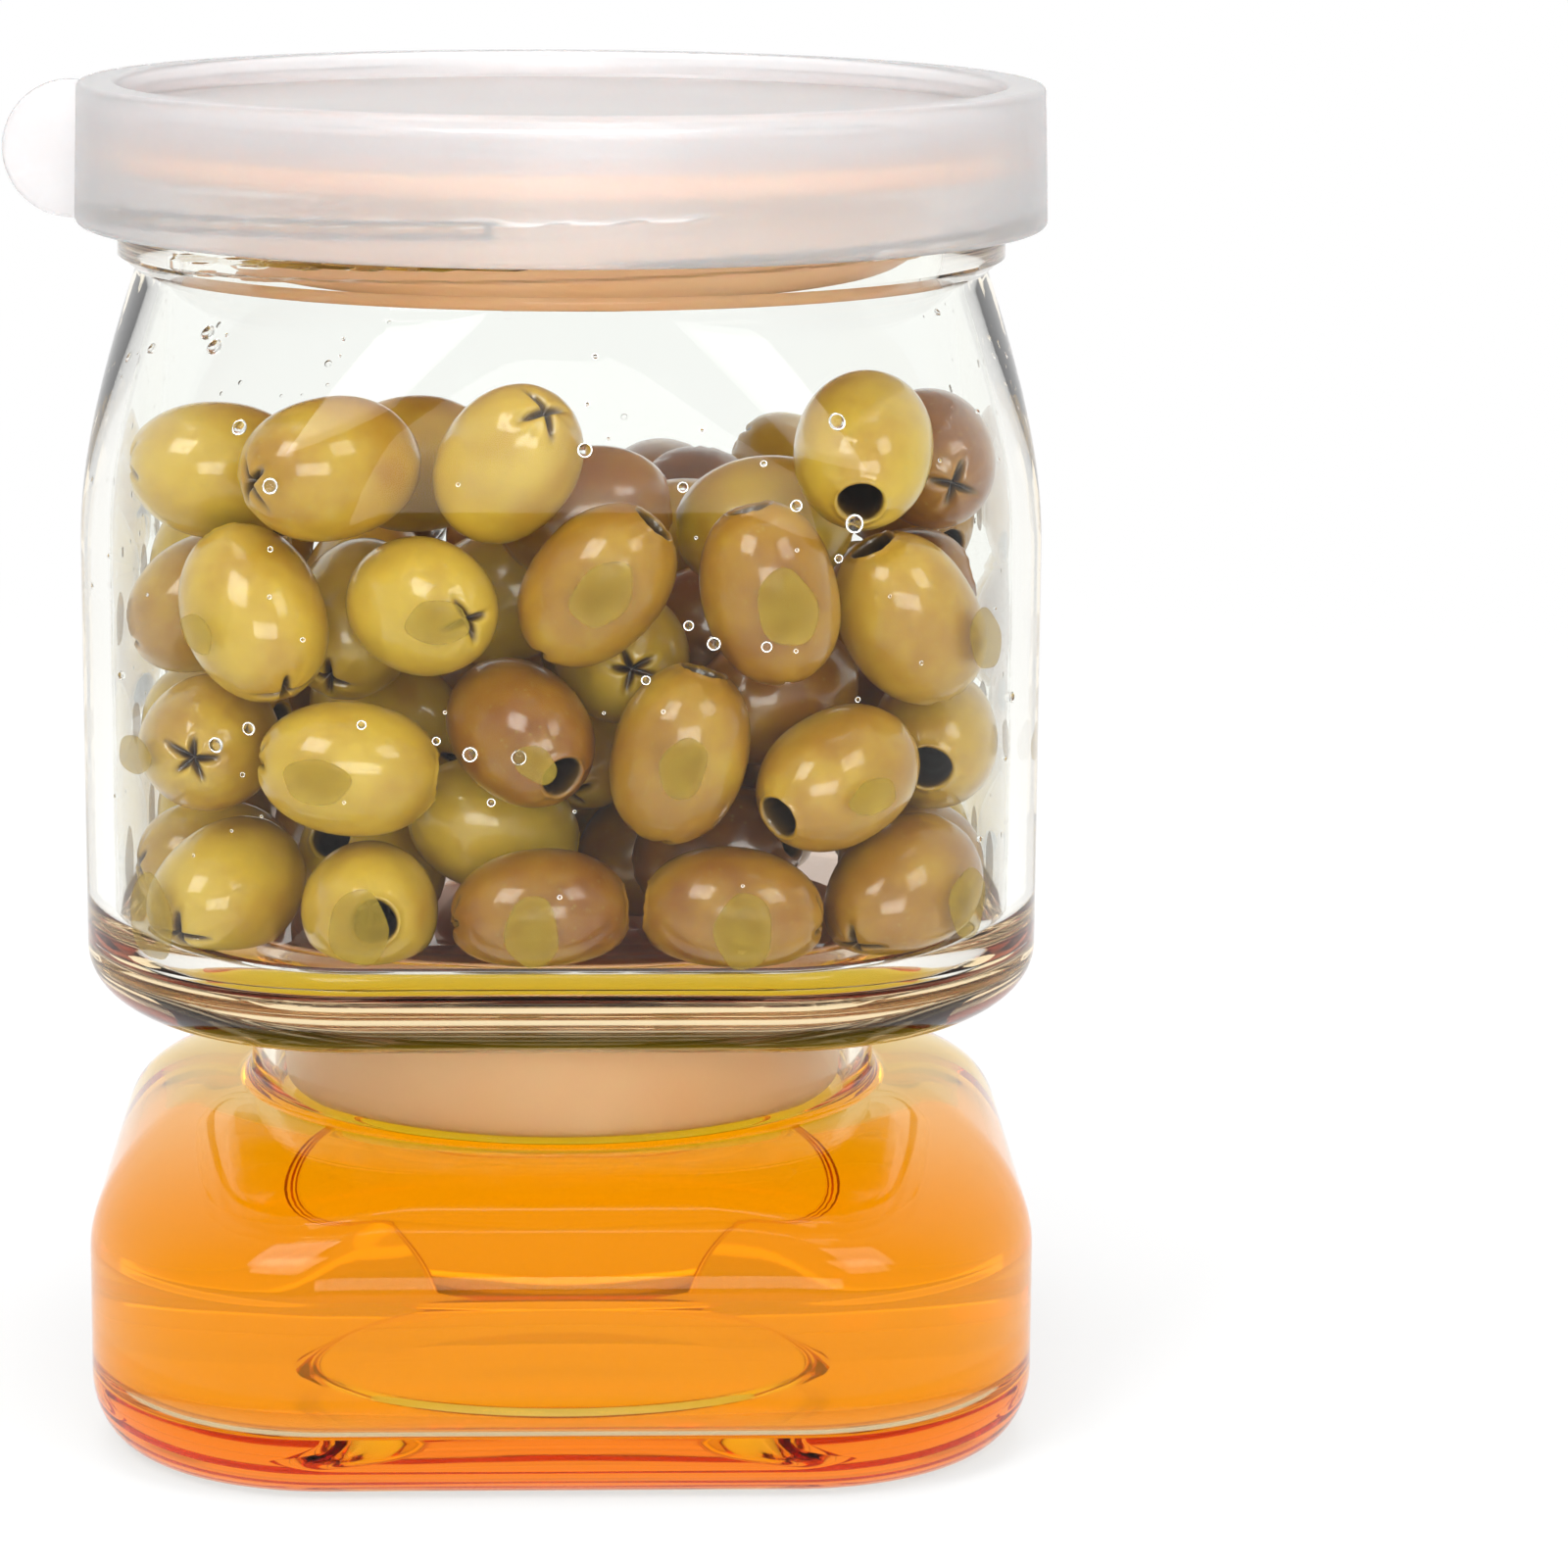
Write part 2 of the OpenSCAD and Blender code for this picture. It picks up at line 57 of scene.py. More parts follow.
BOUNCES = 24


class Body(str, Enum):
    """The bodies that move apart."""

    LOWER_JAR = "lower_jar"
    LOWER_DISH = "lower_dish"
    UPPER_JAR = "upper_jar"
    SEAL_DISH = "seal_dish"
    LID = "lid"


# ---- Colours and nodes ---------------------------------------------------------------------------


def linear(hex_colour: str, alpha: float = 1.0) -> tuple[float, float, float, float]:
    """Turns an sRGB hex colour to linear.

    Args:
        hex_colour: Six hex digits, with or without a leading #.
        alpha: The opacity that goes with it.

    Returns:
        Linear red, green and blue, and alpha.
    """
    digits = hex_colour.lstrip("#")
    channels = [int(digits[i:i + 2], 16)/255 for i in (0, 2, 4)]
    red, green, blue = [c/12.92 if c <= 0.04045 else ((c + 0.055)/1.055)**2.4 for c in channels]
    return red, green, blue, alpha


def add_node(
    tree: bpy.types.NodeTree,
    kind: str,
    inputs: dict[str | int, object] | None = None,
    stops: Sequence[tuple[float, str]] = (),
    **settings: object,
) -> bpy.types.Node:
    """Adds a node with its settings, values and links.

    Args:
        tree: The tree that gets the node.
        kind: The node's type name.
        inputs: Socket name or number to a value, or to the output socket that feeds it.
        stops: Position and hex colour of each stop, where the node is a colour ramp.
        settings: Properties of the node.

    Returns:
        The new node.
    """
    node = tree.nodes.new(kind)
    for name, value in settings.items():
        setattr(node, name, value)
    for key, value in (inputs or {}).items():
        if isinstance(value, bpy.types.NodeSocket):
            tree.links.new(value, node.inputs[key])
        else:
            node.inputs[key].default_value = value
    if stops:
        elements = node.color_ramp.elements
        while len(elements) < len(stops):
            elements.new(0.5)
        for element, (position, colour) in zip(elements, stops):
            element.position = position
            element.color = linear(colour)
    return node


def new_material(name: str) -> tuple[bpy.types.Material, bpy.types.NodeTree]:
    """Makes an empty node material.

    Args:
        name: The material's name.

    Returns:
        The material and its tree.
    """
    material = bpy.data.materials.new(name)
    material.use_nodes = True
    material.node_tree.nodes.clear()
    return material, material.node_tree


def lumps(tree: bpy.types.NodeTree, across_mm: float, detail: float = 2.0) -> bpy.types.NodeSocket:
    """Gives a soft random pattern that stays on the piece.

    Args:
        tree: The tree that gets the pattern.
        across_mm: How wide a lump is.
        detail: How many finer layers it has.

    Returns:
        The pattern, about 0.5 on average.
    """
    point = add_node(tree, "ShaderNodeTexCoord").outputs["Object"]
    inputs = {"Vector": point, "Scale": 1/(across_mm*MM), "Detail": detail}
    return add_node(tree, "ShaderNodeTexNoise", inputs).outputs["Fac"]


def relief(
    tree: bpy.types.NodeTree,
    across_mm: float,
    depth_mm: float,
    detail: float = 3.0,
    under: bpy.types.NodeSocket | None = None,
) -> bpy.types.NodeSocket:
    """Gives a surface lumps of a real width and depth.

    Args:
        tree: The tree that gets the relief.
        across_mm: How wide a lump is.
        depth_mm: How deep the relief is.
        detail: How many finer layers it has.
        under: A relief that this one goes on top of.

    Returns:
        The normal that shows it.
    """
    inputs: dict[str | int, object] = {
        "Height": lumps(tree, across_mm, detail), "Distance": depth_mm*MM, "Strength": 1.0}
    if under is not None:
        inputs["Normal"] = under
    return add_node(tree, "ShaderNodeBump", inputs).outputs["Normal"]


def clear_body(
    tree: bpy.types.NodeTree, face: dict[str | int, object], tint: str, density: float
) -> None:
    """Builds a clear body with a smooth face, whose tint deepens with the way through it.

    Args:
        tree: The material's tree.
        face: The face's colour, IOR, mirror tint and any normal, by socket name.
        tint: The hex colour that a long way takes.
        density: How soon it takes it.
    """
    shader = add_node(tree, "ShaderNodeBsdfPrincipled", {
        "Transmission Weight": 1.0, "Roughness": 0.0, **face})
    depth = add_node(tree, "ShaderNodeVolumeAbsorption", {
        "Color": linear(tint), "Density": density})
    add_node(tree, "ShaderNodeOutputMaterial", {
        "Surface": shader.outputs[0], "Volume": depth.outputs[0]})


# ---- Finishes ------------------------------------------------------------------------------------


@dataclass(frozen=True)
class PressedGlass:
    """Soda-lime glass pressed in a mould and fire-polished: clear, with slow waves in the wall."""

    name: str = "soda_lime_glass_pressed"
    colour: str = "#FCFEFD"
    ior: float = 1.5
    mirror: str = "#8A8A8A"
    wave_mm: float = 16
    wave_depth_mm: float = 0.02
    # Painted warm glow: a yellow tint in the glass's long ways that stands in for the brine's light,
    # not a colour of the glass.
    edge_tint: str = "#FFDC6C"
    edge_density: float = 8.0

    def material(self) -> bpy.types.Material:
        """Builds the glass, whose long ways, along the floor, carry a painted warm glow that stands in
        for the brine's light.
        """
        made, tree = new_material(self.name)
        clear_body(tree, {
            "Base Color": linear(self.colour), "IOR": self.ior,
            "Specular Tint": linear(self.mirror),
            "Normal": relief(tree, self.wave_mm, self.wave_depth_mm, 1.0)},
            self.edge_tint, self.edge_density)
        return made


@dataclass(frozen=True)
class FrostedPolypropylene:
    """Moulded polypropylene with a fine satin face: milky, and what is behind it glows through."""

    colour: str = "#F8F2F2"
    pale_colour: str = "#FCF8F8"
    patch_mm: float = 30
    roughness: float = 0.26
    clearness: float = 0.78
    grain_mm: float = 0.5
    grain_depth_mm: float = 0.006

    def material(self) -> bpy.types.Material:
        """Builds the frosted plastic."""
        made, tree = new_material("polypropylene_frosted_moulded")
        tone = add_node(tree, "ShaderNodeValToRGB", {"Fac": lumps(tree, self.patch_mm)},
                        stops=[(0.3, self.colour), (0.7, self.pale_colour)])
        shader = add_node(tree, "ShaderNodeBsdfPrincipled", {
            "Base Color": tone.outputs["Color"], "Transmission Weight": self.clearness,
            "Roughness": self.roughness, "IOR": 1.49,
            "Normal": relief(tree, self.grain_mm, self.grain_depth_mm),
            "Subsurface Weight": 1.0, "Subsurface Scale": 0.004,
            "Subsurface Radius": (1.0, 0.85, 0.8)})
        add_node(tree, "ShaderNodeOutputMaterial", {"Surface": shader.outputs[0]})
        return made


@dataclass(frozen=True)
class Silicone:
    """Food-grade silicone rubber: peach, slightly translucent, with a soft satin face."""

    colour: str = "#FDCB9C"
    deep_colour: str = "#FABF8A"
    patch_mm: float = 24
    roughness: float = 0.42
    grain_mm: float = 0.6
    grain_depth_mm: float = 0.008

    def material(self) -> bpy.types.Material:
        """Builds the silicone."""
        made, tree = new_material("silicone_rubber_satin")
        tone = add_node(tree, "ShaderNodeValToRGB", {"Fac": lumps(tree, self.patch_mm)},
                        stops=[(0.35, self.deep_colour), (0.65, self.colour)])
        shader = add_node(tree, "ShaderNodeBsdfPrincipled", {
            "Base Color": tone.outputs["Color"], "Roughness": self.roughness, "IOR": 1.41,
            "Normal": relief(tree, self.grain_mm, self.grain_depth_mm),
            "Subsurface Weight": 0.4, "Subsurface Scale": 0.002,
            "Subsurface Radius": (1.0, 0.6, 0.35), "Coat Weight": 0.15, "Coat Roughness": 0.3})
        add_node(tree, "ShaderNodeOutputMaterial", {"Surface": shader.outputs[0]})
        return made


@dataclass(frozen=True)
class Liquid:
    """Brine: as clear as water on its face, with a colour that deepens with the way through it."""

    name: str
    tint: str
    density: float
    ior: float = 1.34
    mirror: str = "#5A5A5A"

    def material(self) -> bpy.types.Material:
        """Builds the liquid."""
        made, tree = new_material(self.name)
        clear_body(tree, {
            "Base Color": linear("#FFFFFF"), "IOR": self.ior, "Specular Tint": linear(self.mirror)},
            self.tint, self.density)
        return made


@dataclass(frozen=True)
class OliveSkin:
    """Cured green olive: a waxy, wet skin, mottled from khaki to brown, with a pit hole whose flesh has
    painted shade deeper in.
    """

    shades: tuple[str, ...] = ("#683610", "#965E18", "#B88A24", "#D8B63C")
    shade_stops: tuple[float, ...] = (0.18, 0.4, 0.62, 0.85)
    mottle_mm: float = 7
    # Painted shade: the near-black colour deep in the hole and in the star slit.
    pit_shade: str = "#2A1508"
    flesh_shade: str = "#8C6A28"
    pore_shade: str = "#B9AB55"
    pore_mm: float = 1.1
    dimple_mm: float = 6
    dimple_depth_mm: float = 0.25
    wrinkle_mm: float = 1.6
    wrinkle_depth_mm: float = 0.05
    roughness: float = 0.34

    def material(self) -> bpy.types.Material:
        """Builds the skin, with painted shade on the flesh where the attribute named pit is high, deep
        in the hole and in the star slit.
        """
        made, tree = new_material("olive_skin_cured_wet")
        tone = add_node(tree, "ShaderNodeAttribute", attribute_name="tone").outputs["Fac"]
        pit = add_node(tree, "ShaderNodeAttribute", attribute_name="pit").outputs["Fac"]
        mottle = add_node(tree, "ShaderNodeMath", {
            0: lumps(tree, self.mottle_mm, 4.0), 1: 0.55}, operation="MULTIPLY").outputs[0]
        ripeness = add_node(tree, "ShaderNodeMath", {
            0: tone, 1: 0.6, 2: mottle}, operation="MULTIPLY_ADD").outputs[0]
        skin = add_node(tree, "ShaderNodeValToRGB", {"Fac": ripeness},
                        stops=list(zip(self.shade_stops, self.shades))).outputs["Color"]
        point = add_node(tree, "ShaderNodeTexCoord").outputs["Object"]
        pores = add_node(tree, "ShaderNodeTexVoronoi", {
            "Vector": point, "Scale": 1/(self.pore_mm*MM), "Randomness": 1.0})
        pore = add_node(tree, "ShaderNodeMapRange", {
            "Value": pores.outputs["Distance"], "From Min": 0.05, "From Max": 0.22,
            "To Min": 0.35, "To Max": 0.0}).outputs["Result"]
        dotted = add_node(tree, "ShaderNodeMix", {
            "Factor": pore, "A": skin, "B": linear(self.pore_shade)},
            data_type="RGBA").outputs["Result"]
        # The cut flesh's own colour at the hole's lip, turning to painted shade deeper in the hole and
        # in the slit.
        flesh = add_node(tree, "ShaderNodeValToRGB", {"Fac": pit}, stops=[
            (0.0, self.flesh_shade), (0.6, self.pit_shade)]).outputs["Color"]
        reach_in = add_node(tree, "ShaderNodeMapRange", {
            "Value": pit, "From Min": 0.02, "From Max": 0.3}).outputs["Result"]
        colour = add_node(tree, "ShaderNodeMix", {
            "Factor": reach_in, "A": dotted, "B": flesh}, data_type="RGBA").outputs["Result"]
        dimples = relief(tree, self.dimple_mm, self.dimple_depth_mm, 2.0)
        normal = relief(tree, self.wrinkle_mm, self.wrinkle_depth_mm, under=dimples)
        shader = add_node(tree, "ShaderNodeBsdfPrincipled", {
            "Base Color": colour, "Roughness": self.roughness, "IOR": 1.45, "Normal": normal,
            "Subsurface Weight": 0.15, "Subsurface Scale": 0.0015,
            "Subsurface Radius": (1.0, 0.8, 0.3), "Coat Weight": 0.8, "Coat Roughness": 0.12})
        add_node(tree, "ShaderNodeOutputMaterial", {"Surface": shader.outputs[0]})
        return made


@dataclass(frozen=True)
class WetContact:
    """Olive skin seen through a film of brine that wets the glass: pale, flat and even."""

    colour: str = "#D2B43C"
    deep_colour: str = "#B9982E"
    patch_mm: float = 2.5
    cover: float = 0.38

    def material(self) -> bpy.types.Material:
        """Builds the wetted patch."""
        made, tree = new_material("olive_skin_wetting_glass")
        tone = add_node(tree, "ShaderNodeValToRGB", {"Fac": lumps(tree, self.patch_mm)},
                        stops=[(0.3, self.deep_colour), (0.7, self.colour)])
        shader = add_node(tree, "ShaderNodeBsdfPrincipled", {
            "Base Color": tone.outputs["Color"], "Roughness": 0.5, "IOR": 1.4, "Alpha": self.cover})
        add_node(tree, "ShaderNodeOutputMaterial", {"Surface": shader.outputs[0]})
        return made


@dataclass(frozen=True)
class StudioFloor:
    """A white sweep: matt card that stays white in the picture and keeps the shadow."""

    glow: float = 0.6
    near_m: float = 0.16
    far_m: float = 0.6

    def material(self) -> bpy.types.Material:
        """Builds the card: where it is seen, part of its white, and all of it far off, is its own."""
        made, tree = new_material("studio_card_white")
        card = add_node(tree, "ShaderNodeBsdfDiffuse", {"Color": linear("#F4F4F4")})
        light = add_node(tree, "ShaderNodeEmission", {"Color": linear("#FFFFFF"), "Strength": 1.0})
        point = add_node(tree, "ShaderNodeTexCoord").outputs["Object"]
        away = add_node(tree, "ShaderNodeVectorMath", {0: point}, operation="LENGTH")
        glow = add_node(tree, "ShaderNodeMapRange", {
            "Value": away.outputs["Value"], "From Min": self.near_m, "From Max": self.far_m,
            "To Min": self.glow, "To Max": 1.0}, interpolation_type="SMOOTHSTEP").outputs[0]
        seen = seen_by_lens_or_glass(tree)
        share = add_node(tree, "ShaderNodeMath", {0: seen, 1: glow}, operation="MULTIPLY")
        both = add_node(tree, "ShaderNodeMixShader", {
            "Fac": share.outputs[0], 1: card.outputs[0], 2: light.outputs[0]})
        add_node(tree, "ShaderNodeOutputMaterial", {"Surface": both.outputs[0]})
        return made


def after_bounce(
    tree: bpy.types.NodeTree,
    depth: bpy.types.NodeSocket,
    before: bpy.types.NodeSocket | float,
    after: bpy.types.NodeSocket | float,
) -> bpy.types.NodeSocket:
    """Chooses a number by whether a light path has bounced in the way that depth counts.

    Args:
        tree: The tree that gets the nodes.
        depth: The count of such bounces.
        before: The number without one.
        after: The number from the first one on.

    Returns:
        The chosen number.
    """
    bounced = add_node(tree, "ShaderNodeMath", {0: depth, 1: 0.5}, operation="GREATER_THAN")
    return add_node(tree, "ShaderNodeMix", {
        "Factor": bounced.outputs[0], "A": before, "B": after}, data_type="FLOAT").outputs["Result"]


def seen_by_lens_or_glass(tree: bpy.types.NodeTree) -> bpy.types.NodeSocket:
    """Gives 1 for rays that show the background: straight, mirrored or through glass."""
    path = add_node(tree, "ShaderNodeLightPath")
    shown = path.outputs["Is Camera Ray"]
    for kind in ("Is Glossy Ray", "Is Transmission Ray"):
        shown = add_node(tree, "ShaderNodeMath", {0: shown, 1: path.outputs[kind]},
                         operation="MAXIMUM").outputs[0]
    return shown


# ---- Mesh making ---------------------------------------------------------------------------------


def place(mesh: bpy.types.Mesh, name: str, material: bpy.types.Material) -> bpy.types.Object:
    """Puts a mesh in the scene as a smooth piece.

    Args:
        mesh: The mesh, in metres.
        name: The piece's name.
        material: Its finish.

    Returns:
        The piece.
    """
    mesh.materials.append(material)
    mesh.shade_smooth()
    mesh.set_sharp_from_angle(angle=CREASE)
    piece = bpy.data.objects.new(name, mesh)
    bpy.context.scene.collection.objects.link(piece)
    LOG.info("%s: %d faces", name, len(mesh.polygons))
    return piece


def skin_mesh(name: str, rings: np.ndarray, closed: bool = True) -> bpy.types.Mesh:
    """Makes a closed skin through rings of points, from a lower pole to an upper one.

    Args:
        name: The mesh's name.
        rings: Rings, points and coordinates, in millimetres.
        closed: Whether each end is closed at its ring's middle.

    Returns:
        The mesh, in metres.
    """
    count, around = rings.shape[:2]
    points = rings.reshape(-1, 3)
    step = np.arange(around)
    after = (step + 1) % around
    faces: list[Sequence[int]] = []
    for k in range(count - 1):
        low, high = k*around, (k + 1)*around
        faces += np.c_[low + step, low + after, high + after, high + step].tolist()
    if closed:
        hubs = np.array([rings[0].mean(0), rings[-1].mean(0)])
        points = np.vstack([points, hubs])
        low_hub, high_hub, top = count*around, count*around + 1, (count - 1)*around
        faces += np.c_[np.full(around, low_hub), after, step].tolist()
        faces += np.c_[top + step, top + after, np.full(around, high_hub)].tolist()
    mesh = bpy.data.meshes.new(name)
    mesh.from_pydata((points*MM).tolist(), [], faces)
    mesh.update()
    return mesh


def arc(centre: tuple[float, float], radius: float, start: float, stop: float, steps: int = 6
        ) -> list[tuple[float, float]]:
    """Gives points of a round corner.

    Args:
        centre: Its centre.
        radius: Its radius.
        start: First angle in degrees.
        stop: Last angle in degrees.
        steps: How many chords it has.

    Returns:
        The points, the two ends among them.
    """
    turns = np.radians(np.linspace(start, stop, steps + 1))
    return [(centre[0] + radius*math.cos(t), centre[1] + radius*math.sin(t)) for t in turns]


def turns_round(count: int = AROUND) -> np.ndarray:
    """Gives evenly spaced angles, once round."""
    return np.linspace(0, 2*math.pi, count, endpoint=False)


def ring_at(reach: np.ndarray | float, z: float, count: int = AROUND) -> np.ndarray:
    """Gives points round the axis at one height.

    Args:
        reach: Distance from the axis, one for all points or one for each.
        z: The height.
        count: How many points there are.

    Returns:
        The points.
    """
    turns = turns_round(count)
    return np.c_[reach*np.cos(turns), reach*np.sin(turns), np.full(count, z)]


def revolve(profile: Sequence[tuple[float, float]], count: int = AROUND) -> np.ndarray:
    """Turns a profile of radius and height to rings of count points."""
    return np.array([ring_at(r, z, count) for r, z in profile])


def subdivided(profile: Sequence[tuple[float, float]], longest: float) -> list[tuple[float, float]]:
    """Splits a profile's long stretches, so that smooth shading stays even.

    Args:
        profile: Points of radius and height.
        longest: The longest stretch allowed.

    Returns:
        The finer profile.
    """
    finer = [profile[0]]
    for (r0, z0), (r1, z1) in zip(profile, profile[1:]):
        parts = max(1, math.ceil(math.hypot(r1 - r0, z1 - z0)/longest))
        finer += [(r0 + (r1 - r0)*k/parts, z0 + (z1 - z0)*k/parts) for k in range(1, parts + 1)]
    return finer


@dataclass(frozen=True)
class SquarePlan:
    """A square outline with round corners, as seen from above."""

    half: float
    corner: float

    def radii(self) -> np.ndarray:
        """Gives the distance from the centre to the outline, all the way round."""
        turns = turns_round()
        u = np.maximum(abs(np.cos(turns)), abs(np.sin(turns)))
        v = np.minimum(abs(np.cos(turns)), abs(np.sin(turns)))
        flat = self.half - self.corner
        along = flat*(u + v)
        rounded = along + np.sqrt(np.maximum(0, self.corner**2 - 2*flat**2 + along**2))
        return np.where(self.half*v/u <= flat, self.half/u, rounded)

    def ring(self, z: float, extra: np.ndarray | float = 0.0) -> np.ndarray:
        """Gives the outline's points at one height.

        Args:
            z: The height.
            extra: What is added to the distance from the centre.

        Returns:
            The points.
        """
        return ring_at(self.radii() + extra, z)


@dataclass(frozen=True)
class ScrewThread:
    """A right-handed thread with two starts, each with squared ends."""

    lead: float = 9.0
    root_h: float = 2.1
    crest_h: float = 0.9
    starts: int = 2
    top_angle: float = 109.0
    top_z: float = 0.0
    arc: float = 256.0
    end_slope: float = 2.0

    def ridge(self, z: float) -> np.ndarray:
        """Gives how much of the thread's height stands at this level, all the way round.

        Args:
            z: The level.

        Returns:
            Shares from 0 to 1.
        """
        turns = np.linspace(0, 360, AROUND, endpoint=False)
        best = np.zeros(AROUND)
        for k in range(self.starts):
            behind = (self.top_angle + k*360/self.starts - turns) % 360
            middle = self.top_z - behind*self.lead/360
            away = abs(z - middle)
            flank = np.clip((self.root_h/2 - away)/((self.root_h - self.crest_h)/2), 0, 1)
            inside = np.clip(np.minimum(behind, self.arc - behind)/self.end_slope, 0, 1)
            best = np.maximum(best, flank*flank*(3 - 2*flank)*inside)
        return best


def geometry_tree(name: str, inputs: dict[str, str]) -> tuple[bpy.types.NodeTree, bpy.types.Node]:
    """Starts a Geometry Nodes tree.

    Args:
        name: The tree's name.
        inputs: Name to kind, Float or Int, of each input beside the geometry.

    Returns:
        The tree and the node that gives its inputs.
    """
    tree = bpy.data.node_groups.new(name, "GeometryNodeTree")
    for label, kind in {"Geometry": "Geometry", **inputs}.items():
        tree.interface.new_socket(label, in_out="INPUT", socket_type="NodeSocket" + kind)
    tree.interface.new_socket("Geometry", in_out="OUTPUT", socket_type="NodeSocketGeometry")
    return tree, add_node(tree, "NodeGroupInput")


def end_geometry(
    tree: bpy.types.NodeTree, placed: bpy.types.Node, finish: bpy.types.Material
) -> None:
    """Makes the placed instances real, dresses them and ends the tree.

    Args:
        tree: The tree.
        placed: The node whose first output holds the instances.
        finish: Their material.
    """
    real = add_node(tree, "GeometryNodeRealizeInstances", {0: placed.outputs[0]})
    dressed = add_node(tree, "GeometryNodeSetMaterial", {
        "Geometry": real.outputs[0], "Material": finish})
    add_node(tree, "NodeGroupOutput", {0: dressed.outputs[0]})


def baked(holder: bpy.types.Object, tree: bpy.types.NodeTree, inputs: dict[str, object], name: str
          ) -> bpy.types.Object:
    """Runs a Geometry Nodes tree on an object and keeps the result as a plain mesh.

    Args:
        holder: The object that carries the points or faces; it is removed.
        tree: The tree.
        inputs: Input name to value.
        name: The new piece's name.

    Returns:
        The new piece.
    """
    modifier = holder.modifiers.new("nodes", "NODES")
    modifier.node_group = tree
    names = {item.name: item.identifier for item in tree.interface.items_tree
             if item.in_out == "INPUT"}
    for key, value in inputs.items():
        modifier[names[key]] = value
    bpy.context.view_layer.update()
    evaluated = holder.evaluated_get(bpy.context.evaluated_depsgraph_get())
    mesh = bpy.data.meshes.new_from_object(evaluated)
    mesh.name = name
    piece = bpy.data.objects.new(name, mesh)
    bpy.context.scene.collection.objects.link(piece)
    bpy.data.objects.remove(holder)
    LOG.info("%s: %d faces", name, len(mesh.polygons))
    return piece


# ---- Glass jars ----------------------------------------------------------------------------------


@dataclass
class SquareJar:
    """What both jars share: a square body with a drawn-in foot and a push-up under it."""

    finish: bpy.types.Material
    width: float = 105.0
    wall: float = 3.0
    rim: float = 2.6
    floor: float = 6.0
    pushup_d: float = 58.0
    pushup_h: float = 1.6
    pushup_edge: float = 0.6
    lip: float = 0.8
    curve_steps: int = 14

    def underside(self, z: float) -> list[np.ndarray]:
        """Gives the rings of the push-up under the jar, from the middle out.

        Args:
            z: Height of the surface that the foot stands on.

        Returns:
            The rings.
        """
        edge = self.pushup_d/2
        flank = self.pushup_h*1.25
        rows = [(HUB_R, self.pushup_h), (edge*0.5, self.pushup_h)]
        rows += [(edge - flank + 0.2*k, self.pushup_h*(1 - (k/10)**2)) for k in range(11)]
        rows += [(edge + self.pushup_edge, 0.0)]
        return [SquarePlan(r, r).ring(z + h) for r, h in rows]

    def foot(self, inside: float, inset: float, height: float, z: float, corner: float
             ) -> list[np.ndarray]:
        """Gives the rings of the foot's fillet, from the lowest up.

        Args:
            inside: How far the skin lies inside the glass.
            inset: How far the foot is drawn in.
            height: The fillet's height.
            z: Height of its lowest ring.
            corner: The plan's corner radius.

        Returns:
            The rings.
        """
        rings = []
        for turn in np.radians(np.linspace(0, 90, self.curve_steps + 1)):
            drawn = inset*(1 - math.sin(turn))
            plan = SquarePlan(self.width/2 - inside - drawn, max(corner - inside - drawn, 1))
            rings.append(plan.ring(z + height*(1 - math.cos(turn))))
        return rings

    def floor_rings(self, z: float, inset: float, corner: float) -> list[np.ndarray]:
        """Gives the rings of the floor inside, from the middle out.

        Args:
            z: The floor's height.
            inset: How far the floor's edge lies inside the jar's full width.
            corner: The plan's corner radius there.

        Returns:
            The rings.
        """
        half = self.width/2 - inset
        shares = (0.08, 0.35, 0.65, 0.85, 0.96)
        return [SquarePlan(half*s, max(corner, 1)*s).ring(z) for s in shares]


